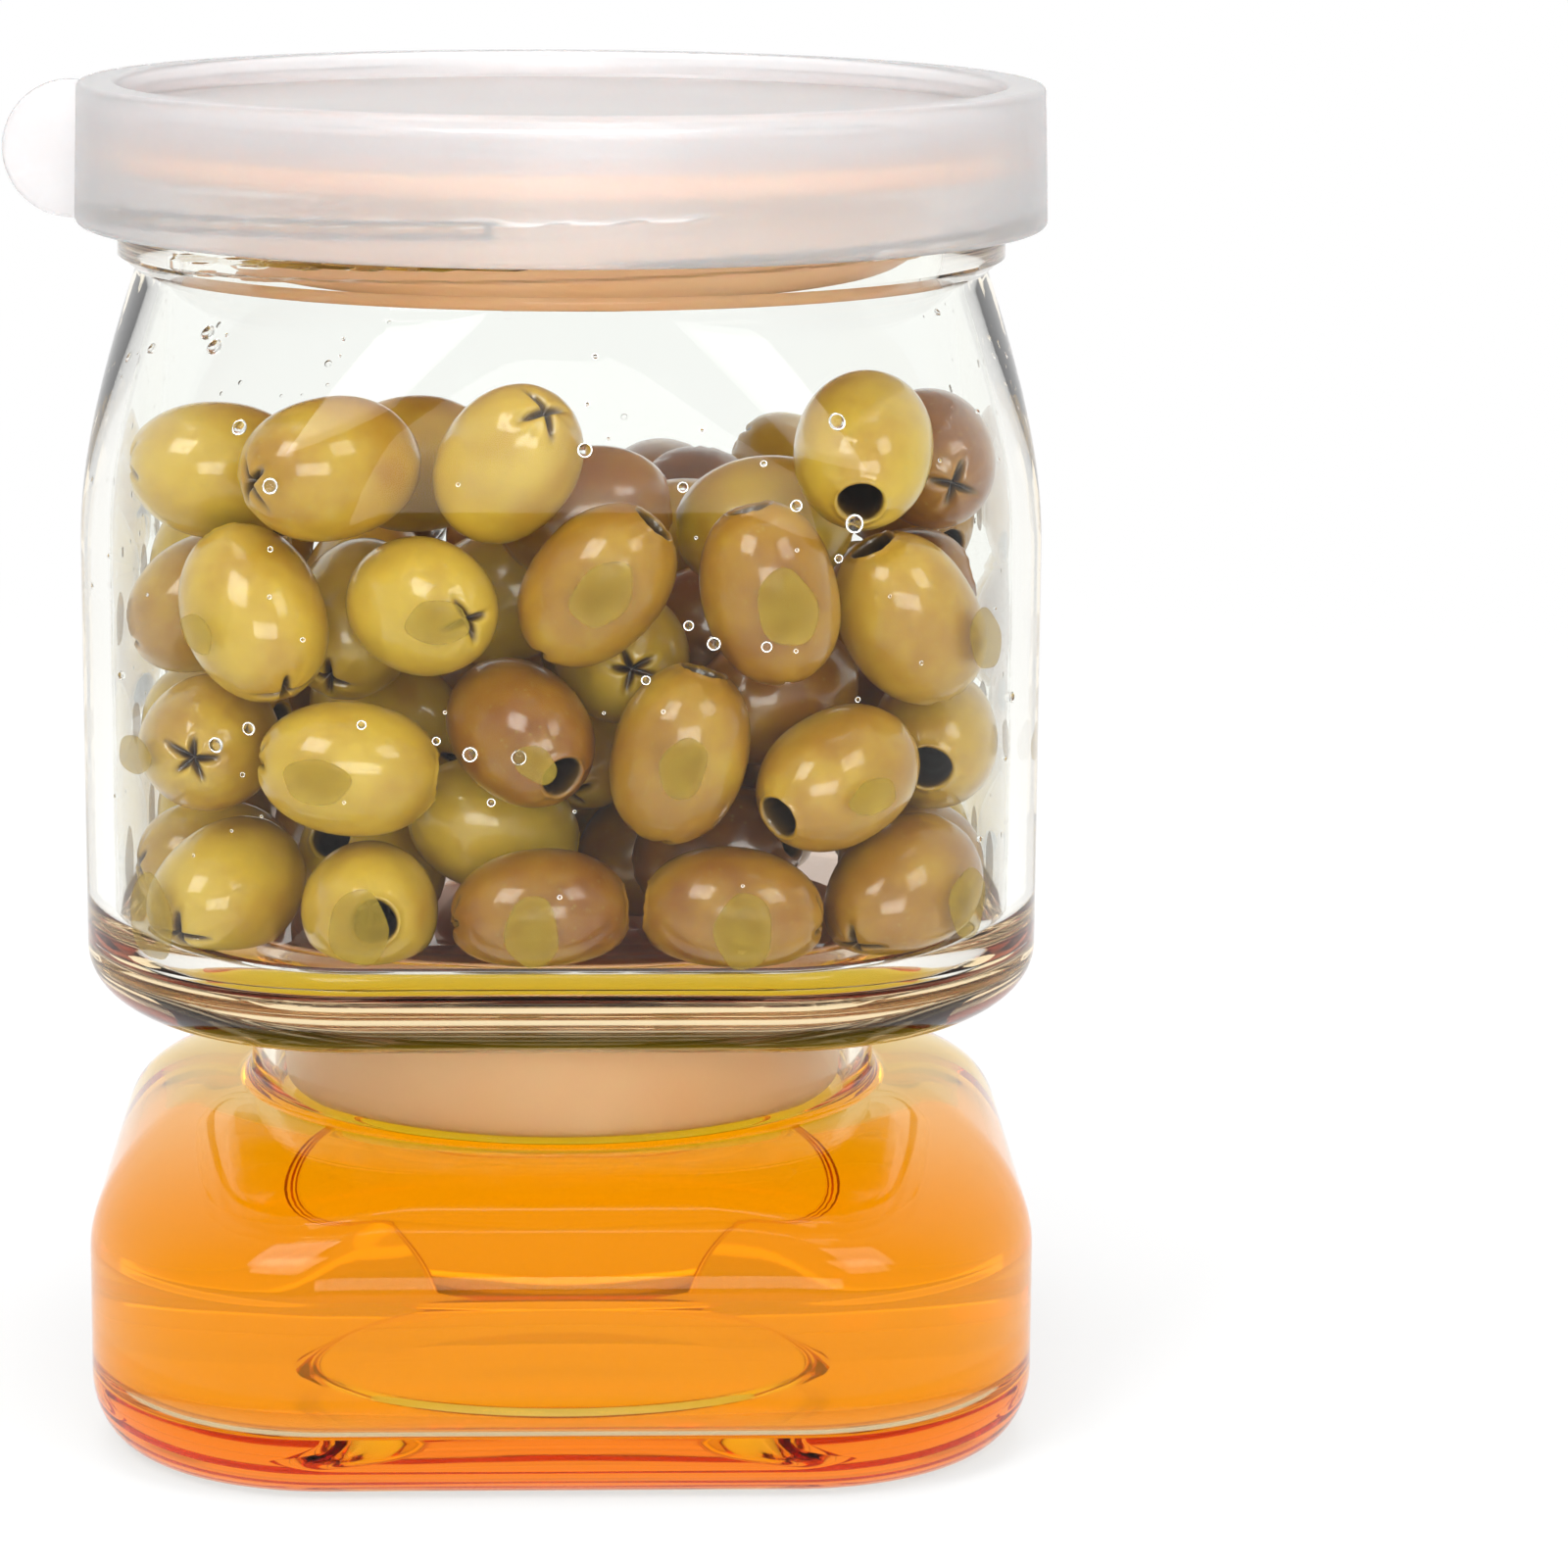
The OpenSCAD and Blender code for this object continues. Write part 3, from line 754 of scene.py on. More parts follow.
@dataclass
class UpperJar(SquareJar):
    """The tall jar with a threaded neck."""

    corner: float = 31.0
    foot_in: float = 12.0
    foot_h: float = 8.0
    shoulder_h: float = 28.0
    neck_d: float = 99.5
    neck_h: float = 11.4
    waist_d: float = 95.6
    waist_step: float = 1.6
    waist_ease: float = 0.05
    waist_ease_h: float = 0.15
    thread_out: float = 1.5
    thread_below_rim: float = 2.2
    thread_row: float = 0.22
    wall_row: float = 1.5
    z0: float = field(init=False)
    rim_z: float = field(init=False)

    def __post_init__(self) -> None:
        """Reads the jar's height from the frame."""
        low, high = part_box("upper_jar")
        self.z0, self.rim_z = low.z/MM, high.z/MM

    @property
    def waist_z(self) -> float:
        """Height of the waist under the neck."""
        return self.rim_z - self.neck_h

    @property
    def floor_z(self) -> float:
        """Height of the floor inside."""
        return self.z0 + self.floor

    @property
    def inner_in(self) -> float:
        """How far the foot is drawn in on the inside."""
        return self.foot_in - self.wall/2

    def shoulder(self, inside: float) -> list[np.ndarray]:
        """Gives the rings of the shoulder, which leaves the wall upright and leans in.

        Args:
            inside: How far the skin lies inside the glass.

        Returns:
            The rings, from the lowest up.
        """
        top = self.waist_d/2 - inside
        half, corner = self.width/2 - inside, self.corner - inside
        rings = []
        for share in np.linspace(0, 1, 2*self.curve_steps + 1):
            lean = math.sin(math.pi/2*(1 - share))
            plan = SquarePlan(top + (half - top)*lean, top + (corner - top)*lean)
            rings.append(plan.ring(self.waist_z - self.shoulder_h*(1 - share)))
        return rings

    def neck(self) -> list[np.ndarray]:
        """Gives the rings of the neck with its thread, over the rim and down the bore."""
        radius, lip = self.neck_d/2, self.lip
        thread = ScrewThread(top_z=self.rim_z - self.thread_below_rim)
        step_top = self.waist_z + self.waist_step
        waist_r = self.waist_d/2 + self.waist_ease
        rings = [SquarePlan(waist_r, waist_r).ring(self.waist_z + self.waist_ease_h)]
        for z in np.arange(step_top, self.rim_z - lip, self.thread_row):
            rings.append(SquarePlan(radius, radius).ring(z, self.thread_out*thread.ridge(z)))
        bore = radius - self.rim
        over = arc((radius - lip, self.rim_z - lip), lip, 0, 90)
        over += arc((bore + lip, self.rim_z - lip), lip, 90, 180)
        waist_bore = self.waist_d/2 - self.wall
        share = np.linspace(0.15, 1, 6)
        low_z = self.waist_z + 0.1
        over += [(bore + (waist_bore - bore)*s, self.rim_z - lip + (low_z - self.rim_z + lip)*s)
                 for s in share]
        return rings + [SquarePlan(r, r).ring(z) for r, z in over]

    def reach(self, z: float) -> np.ndarray:
        """Gives the distance from the middle to the glass inside, all the way round.

        Args:
            z: The height.

        Returns:
            The distances.
        """
        heights, reaches = self.wall_inside
        k = int(np.clip(np.searchsorted(heights, z), 1, len(heights) - 1))
        share = (z - heights[k - 1])/max(heights[k] - heights[k - 1], 1e-6)
        return reaches[k - 1] + (reaches[k] - reaches[k - 1])*share

    @cached_property
    def wall_inside(self) -> tuple[np.ndarray, np.ndarray]:
        """The inner wall's heights, and its distance from the middle at each."""
        skin = self.foot(self.wall, self.inner_in, self.foot_h, self.floor_z, self.corner)
        skin += self.shoulder(self.wall)
        heights = np.array([ring[0, 2] for ring in skin])
        return heights, np.array([np.hypot(ring[:, 0], ring[:, 1]) for ring in skin])

    def inner_wall(self, low: float, high: float, inside: float = 0.0) -> list[np.ndarray]:
        """Gives the rings of the wall inside between two heights.

        Args:
            low: Lowest height.
            high: Highest height.
            inside: How far the rings lie inside the cavity.

        Returns:
            The rings, from the lowest up.
        """
        rows = max(2, round((high - low)/self.wall_row))
        return [ring_at(self.reach(z) - inside, z) for z in np.linspace(low, high, rows)]

    def build(self) -> bpy.types.Object:
        """Builds the jar as one closed skin."""
        outside = self.underside(self.z0)
        outside += self.foot(0, self.foot_in, self.foot_h, self.z0, self.corner)
        outside += self.shoulder(0)
        inside = self.shoulder(self.wall)[::-1]
        inside += self.foot(self.wall, self.inner_in, self.foot_h, self.floor_z, self.corner)[::-1]
        inset = self.wall + self.inner_in
        floor = self.floor_rings(self.floor_z, inset, self.corner - inset)
        rings = np.array(outside + self.neck() + inside[1:] + floor[::-1])
        piece = place(skin_mesh("upper_jar_glass", rings), "upper_jar_glass", self.finish)
        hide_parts("upper_jar")
        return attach(piece, Body.UPPER_JAR.value)


@dataclass
class LowerJar(SquareJar):
    """The squat jar with a plain neck."""

    corner: float = 27.0
    foot_in: float = 6.0
    foot_h: float = 8.0
    shoulder_h: float = 13.4
    neck_d: float = 71.6
    neck_h: float = 11.2
    flare: float = 1.6
    bore_edge: float = 0.6
    rim_z: float = field(init=False)

    def __post_init__(self) -> None:
        """Reads the jar's height from the frame."""
        self.rim_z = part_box("lower_jar")[1].z/MM

    @property
    def shoulder_z(self) -> float:
        """Height where the shoulder meets the neck."""
        return self.rim_z - self.neck_h

    def shoulder(self, inside: float) -> list[np.ndarray]:
        """Gives the rings of the dome that ends level at the neck.

        Args:
            inside: How far the skin lies inside the glass.

        Returns:
            The rings, from the lowest up.
        """
        top = self.neck_d/2 + self.flare + 0.2 - inside
        half, corner = self.width/2 - inside, self.corner - inside
        height = self.shoulder_h - inside
        rings = []
        for turn in np.radians(np.linspace(0, 90, 2*self.curve_steps + 1)):
            lean = math.cos(turn)
            plan = SquarePlan(top + (half - top)*lean, top + (corner - top)*lean)
            rings.append(plan.ring(self.shoulder_z - self.shoulder_h + height*math.sin(turn)))
        return rings

    def neck(self) -> list[np.ndarray]:
        """Gives the rings of the neck, over the rim and down the bore."""
        radius, lip = self.neck_d/2, self.lip
        bore = radius - self.rim
        profile = arc((radius + self.flare, self.shoulder_z + self.flare), self.flare, 268, 180)
        profile += arc((radius - lip, self.rim_z - lip), lip, 0, 90)
        profile += arc((bore + lip, self.rim_z - lip), lip, 90, 180)
        low = self.shoulder_z - self.wall
        edge = self.bore_edge
        profile += arc((bore + edge, low + edge), edge, 180, 262)
        return [SquarePlan(r, r).ring(z) for r, z in subdivided(profile, 2.5)]

    def cavity(self, grown: float, high: float) -> list[np.ndarray]:
        """Gives the rings of the inner skin up to a level in the neck, for what fills the jar.

        Args:
            grown: How far the rings reach into the glass.
            high: The level.

        Returns:
            The rings, from the lowest up.
        """
        inside = self.wall - grown
        skin = self.foot(inside, self.foot_in, self.foot_h, self.floor - grown, self.corner)
        skin += self.shoulder(inside)[1:]
        bore, low = self.neck_d/2 - self.rim, self.shoulder_z - self.wall
        turned = arc((bore + self.bore_edge, low + self.bore_edge), self.bore_edge - grown, 262, 180)
        turned += [(bore + grown, high)]
        return skin + [SquarePlan(r, r).ring(z) for r, z in turned]

    def build(self) -> bpy.types.Object:
        """Builds the jar as one closed skin."""
        outside = self.underside(0)
        outside += self.foot(0, self.foot_in, self.foot_h, 0, self.corner)
        outside += self.shoulder(0)
        inside = self.shoulder(self.wall)[::-1]
        inside += self.foot(self.wall, self.foot_in, self.foot_h, self.floor, self.corner)[::-1]
        inset = self.wall + self.foot_in
        floor = self.floor_rings(self.floor, inset, self.corner - inset)
        rings = np.array(outside + self.neck() + inside[1:] + floor[::-1])
        piece = place(skin_mesh("lower_jar_glass", rings), "lower_jar_glass", self.finish)
        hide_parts("lower_jar")
        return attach(piece, Body.LOWER_JAR.value)


# ---- Dishes --------------------------------------------------------------------------------------


@dataclass
class Dish:
    """A soft round dish: a flange with a round bead, and a tub that tapers to a flat floor."""

    finish: bpy.types.Material
    node: str
    body: Body
    flange_d: float
    flange_t: float
    top_r: float
    taper: float
    wall: float = 1.8
    inner_r: float = 3.4
    edge: float = 0.8
    crease: float = 0.15
    groove: float = 0.0
    scoop: float = 0.0
    scoop_r: float = 2.9

    def profile(self) -> list[tuple[float, float]]:
        """Gives the dish's outline from the middle underneath to the middle on top."""
        low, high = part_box(self.node)
        bottom, top = low.z/MM, high.z/MM
        rest = top - self.flange_t
        outer_r = self.inner_r + self.wall
        foot = self.top_r - self.taper - outer_r
        bead = self.flange_t/2
        groove_r = self.flange_d/2 - self.flange_t
        points = [(HUB_R, bottom), (foot*0.6, bottom)]
        points += arc((foot, bottom + outer_r), outer_r, 270, 360, 10)
        points += [(self.top_r, rest - self.crease), (self.top_r + self.crease, rest)]
        points += arc((self.flange_d/2 - bead, rest + bead), bead, 270, 450, 14)
        if self.groove:
            points += [(groove_r + self.groove*math.cos(t), top - self.groove*math.sin(t))
                       for t in np.linspace(0, math.pi, 9)]
        lip = self.top_r - self.wall
        points += arc((lip + self.edge, top - self.edge), self.edge, 90, 180, 6)
        points += arc((foot, bottom + outer_r), self.inner_r, 360, 270, 10)
        points += [(foot*0.6, bottom + self.wall), (HUB_R, bottom + self.wall)]
        return subdivided(points, 3.0)

    def build(self) -> bpy.types.Object:
        """Builds the dish."""
        rings = revolve(self.profile())
        if self.scoop:
            rings = self.scooped(rings)
        piece = place(skin_mesh(self.node + "_silicone", rings), self.node + "_silicone", self.finish)
        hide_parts(self.node)
        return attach(piece, self.body.value)

    def scooped(self, rings: np.ndarray) -> np.ndarray:
        """Presses the finger notch into the inner wall, to the right.

        Args:
            rings: The dish's rings.

        Returns:
            The rings with the notch.
        """
        top = rings[..., 2].max()
        depth = top - rings[..., 2].min()
        centre = np.array([self.top_r - self.wall - self.taper*0.62, 0, top - depth*0.45])
        half = len(rings)//2
        inner = rings[half:]
        away = np.linalg.norm(inner - centre, axis=2)
        push = self.scoop*np.clip(1 - (away/self.scoop_r)**2, 0, 1)
        radius = np.maximum(np.hypot(inner[..., 0], inner[..., 1]), 1e-6)
        inner[..., :2] *= (1 + push/radius)[..., None]
        return rings


# ---- Lid -----------------------------------------------------------------------------------------


@dataclass
class ScrewLid:
    """The frosted cap with its recessed top, inner thread and pull tab."""

    finish: bpy.types.Material
    open_d: float = 108.8
    draft: float = 0.8
    bore_d: float = 103.8
    panel_t: float = 1.6
    recess_h: float = 3.0
    recess_d: float = 99.0
    recess_wall: float = 1.4
    rib_r: float = 48.45
    rib_half: float = 0.8
    rib_h: float = 1.8
    edge: float = 0.8
    crease: float = 0.3
    recess_r: float = 0.5
    thread_in: float = 1.7
    thread_top: float = 3.9
    thread_angle: float = 263
    thread_arc: float = 168
    thread_row: float = 0.25
    tab_out: float = 8.1
    tab_h: float = 15.4
    tab_t: float = 1.8
    tab_root: float = 0.9
    tab_round: float = 0.55
    bottom: float = field(init=False)
    top: float = field(init=False)

    def __post_init__(self) -> None:
        """Reads the lid's heights from the frame."""
        low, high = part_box("lid")
        self.bottom, self.top = low.z/MM, high.z/MM

    def shell(self) -> np.ndarray:
        """Gives the rings of the cap from the middle underneath to the middle on top."""
        panel = self.top - self.recess_h - self.panel_t
        bore, outer, top_r = self.bore_d/2, self.open_d/2, (self.open_d - self.draft)/2
        recess, edge, crease = self.recess_d/2, self.edge, self.crease
        groove_z = self.top - self.panel_t
        rib_in, rib_out = self.rib_r - self.rib_half, self.rib_r + self.rib_half
        wall = recess + self.recess_wall
        under = [(HUB_R, panel), (rib_in - crease, panel), (rib_in, panel - crease)]
        under += arc((self.rib_r, panel - self.rib_h + self.rib_half), self.rib_half, 180, 360, 8)
        under += [(rib_out, panel - crease), (rib_out + 0.2, panel), (wall, panel)]
        under += [(wall, groove_z - crease), (wall + crease, groove_z)]
        under += [(bore - crease, groove_z), (bore, groove_z - crease)]
        low = arc((bore + crease, self.bottom + crease), crease, 180, 270, 3)
        low += arc((outer - edge, self.bottom + edge), edge, 270, 360, 6)
        over = arc((top_r - edge, self.top - edge), edge, 0, 90, 8)
        over += arc((recess + edge, self.top - edge), edge, 90, 180, 8)
        floor, corner = self.top - self.recess_h, self.recess_r
        over += [(recess, floor + corner)]
        over += arc((recess - corner, floor + corner), corner, 0, -90, 4)
        over += [(recess*0.7, floor), (HUB_R, floor)]
        thread = ScrewThread(top_z=self.bottom + self.thread_top, top_angle=self.thread_angle,
                             arc=self.thread_arc)
        rings = list(revolve(subdivided(under, 4.0)))
        for z in np.arange(groove_z - 0.6, self.bottom + 0.35, -self.thread_row):
            plan = SquarePlan(bore, bore)
            rings.append(plan.ring(z, -self.thread_in*thread.ridge(z)))
        rings += list(revolve(subdivided(low + over, 3.0)))
        return np.array(rings)

    def tab_mesh(self) -> bpy.types.Mesh:
        """Makes the thin upright pull tab, with rounded edges."""
        radius, wall = self.tab_h/2, (self.open_d - self.draft)/2 - self.tab_root
        centre_x = radius - self.open_d/2 - self.tab_out
        centre_z = (self.bottom + self.top)/2
        reach = math.degrees(math.acos(np.clip((-wall - centre_x)/radius, -1, 1)))
        outline = arc((centre_x, centre_z), radius, reach, 360 - reach, 48)
        shape = bmesh.new()
        loop = [shape.verts.new((x*MM, -self.tab_t/2*MM, z*MM)) for x, z in outline]
        face = shape.faces.new(loop)
        lifted = bmesh.ops.extrude_face_region(shape, geom=[face])["geom"]
        movers = [v for v in lifted if isinstance(v, bmesh.types.BMVert)]
        bmesh.ops.translate(shape, verts=movers, vec=(0, self.tab_t*MM, 0))
        bmesh.ops.recalc_face_normals(shape, faces=shape.faces)
        rims = [e for e in shape.edges if len({round(v.co.y, 6) for v in e.verts}) == 1]
        bmesh.ops.bevel(shape, geom=rims, offset=self.tab_round*MM, segments=3, affect="EDGES",
                        profile=0.5)
        mesh = bpy.data.meshes.new("pull_tab")
        shape.to_mesh(mesh)
        shape.free()
        return mesh

    def build(self) -> list[bpy.types.Object]:
        """Builds the cap and its tab."""
        cap = place(skin_mesh("lid_cap", self.shell()), "lid_cap", self.finish)
        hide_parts("lid")
        tab = place(self.tab_mesh(), "lid_pull_tab", self.finish)
        for piece in (cap, tab):
            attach(piece, Body.LID.value)
        return [cap, tab]


# ---- Liquids -------------------------------------------------------------------------------------


def liquid_surface(
    edge: np.ndarray, level: float, rise: float, fall: float, steps: Sequence[float]
) -> list[np.ndarray]:
    """Gives the rings of a liquid's surface, which climbs where it meets the wall.

    Args:
        edge: The ring where it meets the wall.
        level: The liquid's height away from the wall.
        rise: How far it climbs.
        fall: How far from the wall most of that is gone.
        steps: How far from the wall each ring lies.

    Returns:
        The rings, from the wall inwards.
    """
    reach = np.hypot(edge[:, 0], edge[:, 1])
    rings = []
    for away in steps:
        ring = edge.copy()
        ring[:, :2] *= ((reach - away)/reach)[:, None]
        ring[:, 2] = level + rise*math.exp(-away/fall)
        rings.append(ring)
    return rings


@dataclass
class Brine:
    """The brine that fills the lower jar up to its dish and climbs a little at the glass."""

    finish: bpy.types.Material
    jar: LowerJar
    overlap: float = 0.12
    meniscus: float = 0.5
    fall: float = 0.35
    steps: tuple[float, ...] = (0.2, 0.45, 0.8, 1.4, 3.0, 8.0, 16.0, 26.0)

    def build(self) -> bpy.types.Object:
        """Builds the brine up to its level in the frame."""
        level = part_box("brine")[1].z/MM
        rings = self.jar.cavity(self.overlap, level + self.meniscus)
        inset = self.jar.wall + self.jar.foot_in - self.overlap
        half = self.jar.width/2 - inset
        corner = self.jar.corner - inset
        bottom = [SquarePlan(half*s, corner*s).ring(self.jar.floor - self.overlap)
                  for s in (0.08, 0.5, 0.9)]
        surface = liquid_surface(rings[-1], level, self.meniscus, self.fall, self.steps)
        mesh = skin_mesh("brine_fill", np.array(bottom + rings + surface))
        piece = place(mesh, "brine_fill", self.finish)
        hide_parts("brine")
        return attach(piece, Body.LOWER_JAR.value)


@dataclass
class Puddle:
    """The thin layer of brine on the upper jar's floor."""

    finish: bpy.types.Material
    jar: UpperJar
    overlap: float = 0.1
    meniscus: float = 1.2
    fall: float = 0.9
    steps: tuple[float, ...] = (0.3, 0.7, 1.2, 2.0, 3.5, 10.0, 25.0)

    def build(self) -> bpy.types.Object:
        """Builds the layer up to its level in the frame."""
        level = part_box("brine_puddle")[1].z/MM
        floor = self.jar.floor_z
        low = self.jar.inner_wall(floor + 0.02, floor + 0.021, -self.overlap)[0]
        low[:, 2] = floor - self.overlap
        side = self.jar.inner_wall(floor + 0.25, level + self.meniscus, -self.overlap)
        surface = liquid_surface(side[-1], level, self.meniscus, self.fall, self.steps)
        bottom = [low*np.array([share, share, 1]) for share in (0.1, 0.5, 0.9)]
        mesh = skin_mesh("puddle", np.array(bottom + [low] + side + surface))
        piece = place(mesh, "brine_puddle_layer", self.finish)
        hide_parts("brine_puddle")
        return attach(piece, Body.UPPER_JAR.value)


# ---- Olives --------------------------------------------------------------------------------------


@dataclass(frozen=True)
class OlivePlace:
    """Where one olive lies: its middle in millimetres, and the way its pit hole points."""

    centre: Vector
    way: Vector


@dataclass
class OliveShape:
    """One pitted olive: a plump oval with a hole at one end and a star slit at the other."""

    seed: int
    length: float = 20.0
    thickness: float = 15.0
    hole_r: float = 2.45
    hole_depth: float = 12.0
    slit_reach: float = 3.3
    slit_depth: float = 1.5
    slit_half: float = 0.42
    slit_middle_r: float = 0.55
    around: int = 72
    plumpness: float = 0.94
    slit_rings: tuple[float, ...] = (0.25, 0.6, 1.0, 1.45, 1.95, 2.5, 3.1)
    side_from: float = 3.9
    dent_count: int = 7
    dent_depth: float = 0.012
    fold_h: float = 0.09
    fold_r: float = 3.2
    fold_spread: float = 1.6

    def mesh(self) -> bpy.types.Mesh:
        """Makes the olive, standing on its slit end, with the attribute pit, which marks where the skin
        gets painted shade.
        """
        rng = np.random.default_rng(self.seed)
        turns = turns_round(self.around)
        rows, pits = self.rows()
        rings = revolve(rows, self.around)
        pit = np.repeat(np.array(pits)[:, None], self.around, axis=1)
        rings = self.lumped(rings, pit, rng)
        rings, pit = self.slit(rings, pit, turns, rng)
        rings, pit = self.puckered(rings, pit, turns, rng)
        mesh = skin_mesh(f"olive_{self.seed}", rings)
        values = np.append(pit.ravel(), [pit[0].mean(), pit[-1].mean()])
        layer = mesh.attributes.new("pit", "FLOAT", "POINT")
        layer.data.foreach_set("value", values.astype(np.float32))
        mesh.shade_smooth()
        return mesh

    def rows(self) -> tuple[list[tuple[float, float]], list[float]]:
        """Gives the radius and height of each ring, and how deep in the pit it is."""
        half, radius, plump = self.length/2, self.thickness/2, self.plumpness
        hole_turn = math.degrees(math.acos((self.hole_r/radius)**(1/plump)))
        rows = []
        for r in self.slit_rings:
            turn = math.acos((r/radius)**(1/plump))
            rows.append((r, -half*math.sin(turn)**plump))
        first = -math.degrees(math.acos((self.side_from/radius)**(1/plump)))
        for turn in np.radians(np.linspace(first, hole_turn - 3, 24)):
            rows.append((radius*math.cos(turn)**plump,
                         math.copysign(half*abs(math.sin(turn))**plump, turn)))
        # pits: how deep in the hole each ring is, which the skin turns into painted shade.
        pits = [0.0]*len(rows)
        lip_z = rows[-1][1]
        rows += [(self.hole_r + 0.35, lip_z + 0.12), (self.hole_r + 0.05, lip_z + 0.05),
                 (self.hole_r - 0.15, lip_z - 0.25), (self.hole_r - 0.2, lip_z - 0.9)]
        pits += [0.03, 0.12, 0.3, 0.5]
        for k in range(1, 6):
            rows.append((self.hole_r - 0.25 - 0.04*k, lip_z - 0.9 - k*(self.hole_depth - 2)/5))
            pits.append(min(1.0, 0.55 + 0.15*k))
        rows.append((self.hole_r*0.5, lip_z - self.hole_depth))
        pits.append(1.0)
        return rows, pits

    def lumped(self, rings: np.ndarray, pit: np.ndarray, rng: np.random.Generator) -> np.ndarray:
        """Gives the olive soft dents, so that no two look turned on a lathe.

        Args:
            rings: The olive's rings.
            pit: How deep in the pit each point is.
            rng: The source of chance.

        Returns:
            The dented rings.
        """
        dent = np.zeros(rings.shape[:2])
        for _ in range(self.dent_count):
            direction = rng.normal(size=3)
            direction *= rng.uniform(0.18, 0.55)/np.linalg.norm(direction)
            dent += np.sin(rings @ direction + rng.uniform(0, 2*math.pi))
        scale = 1 - self.dent_depth*(1 + dent/3)*(1 - np.clip(pit, 0, 1))
        return rings*np.array([1, 1, 0]) * scale[..., None] + rings*np.array([0, 0, 1])

    def slit(self, rings: np.ndarray, pit: np.ndarray, turns: np.ndarray, rng: np.random.Generator
             ) -> tuple[np.ndarray, np.ndarray]:
        """Cuts the star at the low end.

        Args:
            rings: The olive's rings.
            pit: How deep in the hole each point is, which sets its painted shade.
            turns: The angle of each point round the axis.
            rng: The source of chance.

        Returns:
            The rings with the star cut, and pit raised in its grooves for painted shade.
        """
        arms = int(rng.integers(4, 6))
        starts = np.linspace(0, 2*math.pi, arms, endpoint=False) + rng.uniform(-0.25, 0.25, arms)
        reach = self.slit_reach*rng.uniform(0.75, 1.1, arms)
        radius = np.hypot(rings[..., 0], rings[..., 1])
        low = rings[..., 2] < 0
        cut = np.zeros(rings.shape[:2])
        for angle, far in zip(starts, reach):
            aside = abs((turns[None, :] - angle + math.pi) % (2*math.pi) - math.pi)*radius
            groove = np.exp(-(aside/self.slit_half)**2)*np.clip(1 - radius/far, 0, 1)**0.6
            cut = np.maximum(cut, groove)
        cut = np.maximum(cut, np.exp(-(radius/self.slit_middle_r)**2))*low
        rings[..., 2] += cut*self.slit_depth
        # The star's grooves raise pit, so the skin paints shade into them.
        return rings, np.maximum(pit, cut*0.75)

    def puckered(self, rings: np.ndarray, pit: np.ndarray, turns: np.ndarray,
                 rng: np.random.Generator) -> tuple[np.ndarray, np.ndarray]:
        """Draws the skin into small folds round the hole and the slit.

        Args:
            rings: The olive's rings.
            pit: How deep in the hole each point is, which sets its painted shade.
            turns: The angle of each point round the axis.
            rng: The source of chance.

        Returns:
            The rings with the folds, and pit, which sets painted shade, unchanged.
        """
        radius = np.hypot(rings[..., 0], rings[..., 1])
        near = np.exp(-((radius - self.fold_r)/self.fold_spread)**2)*(1 - np.clip(pit*2, 0, 1))
        folds = sum(np.sin(k*turns + rng.uniform(0, 2*math.pi))/k**0.5 for k in (5, 8, 11, 14))
        rings[..., 2] += self.fold_h*near*folds[None, :]*np.sign(-rings[..., 2])
        edge = 1 + 0.05*np.clip(pit*3, 0, 1)*np.sin(3*turns + rng.uniform(0, 6))[None, :]
        rings[..., :2] *= edge[..., None]
        return rings, pit


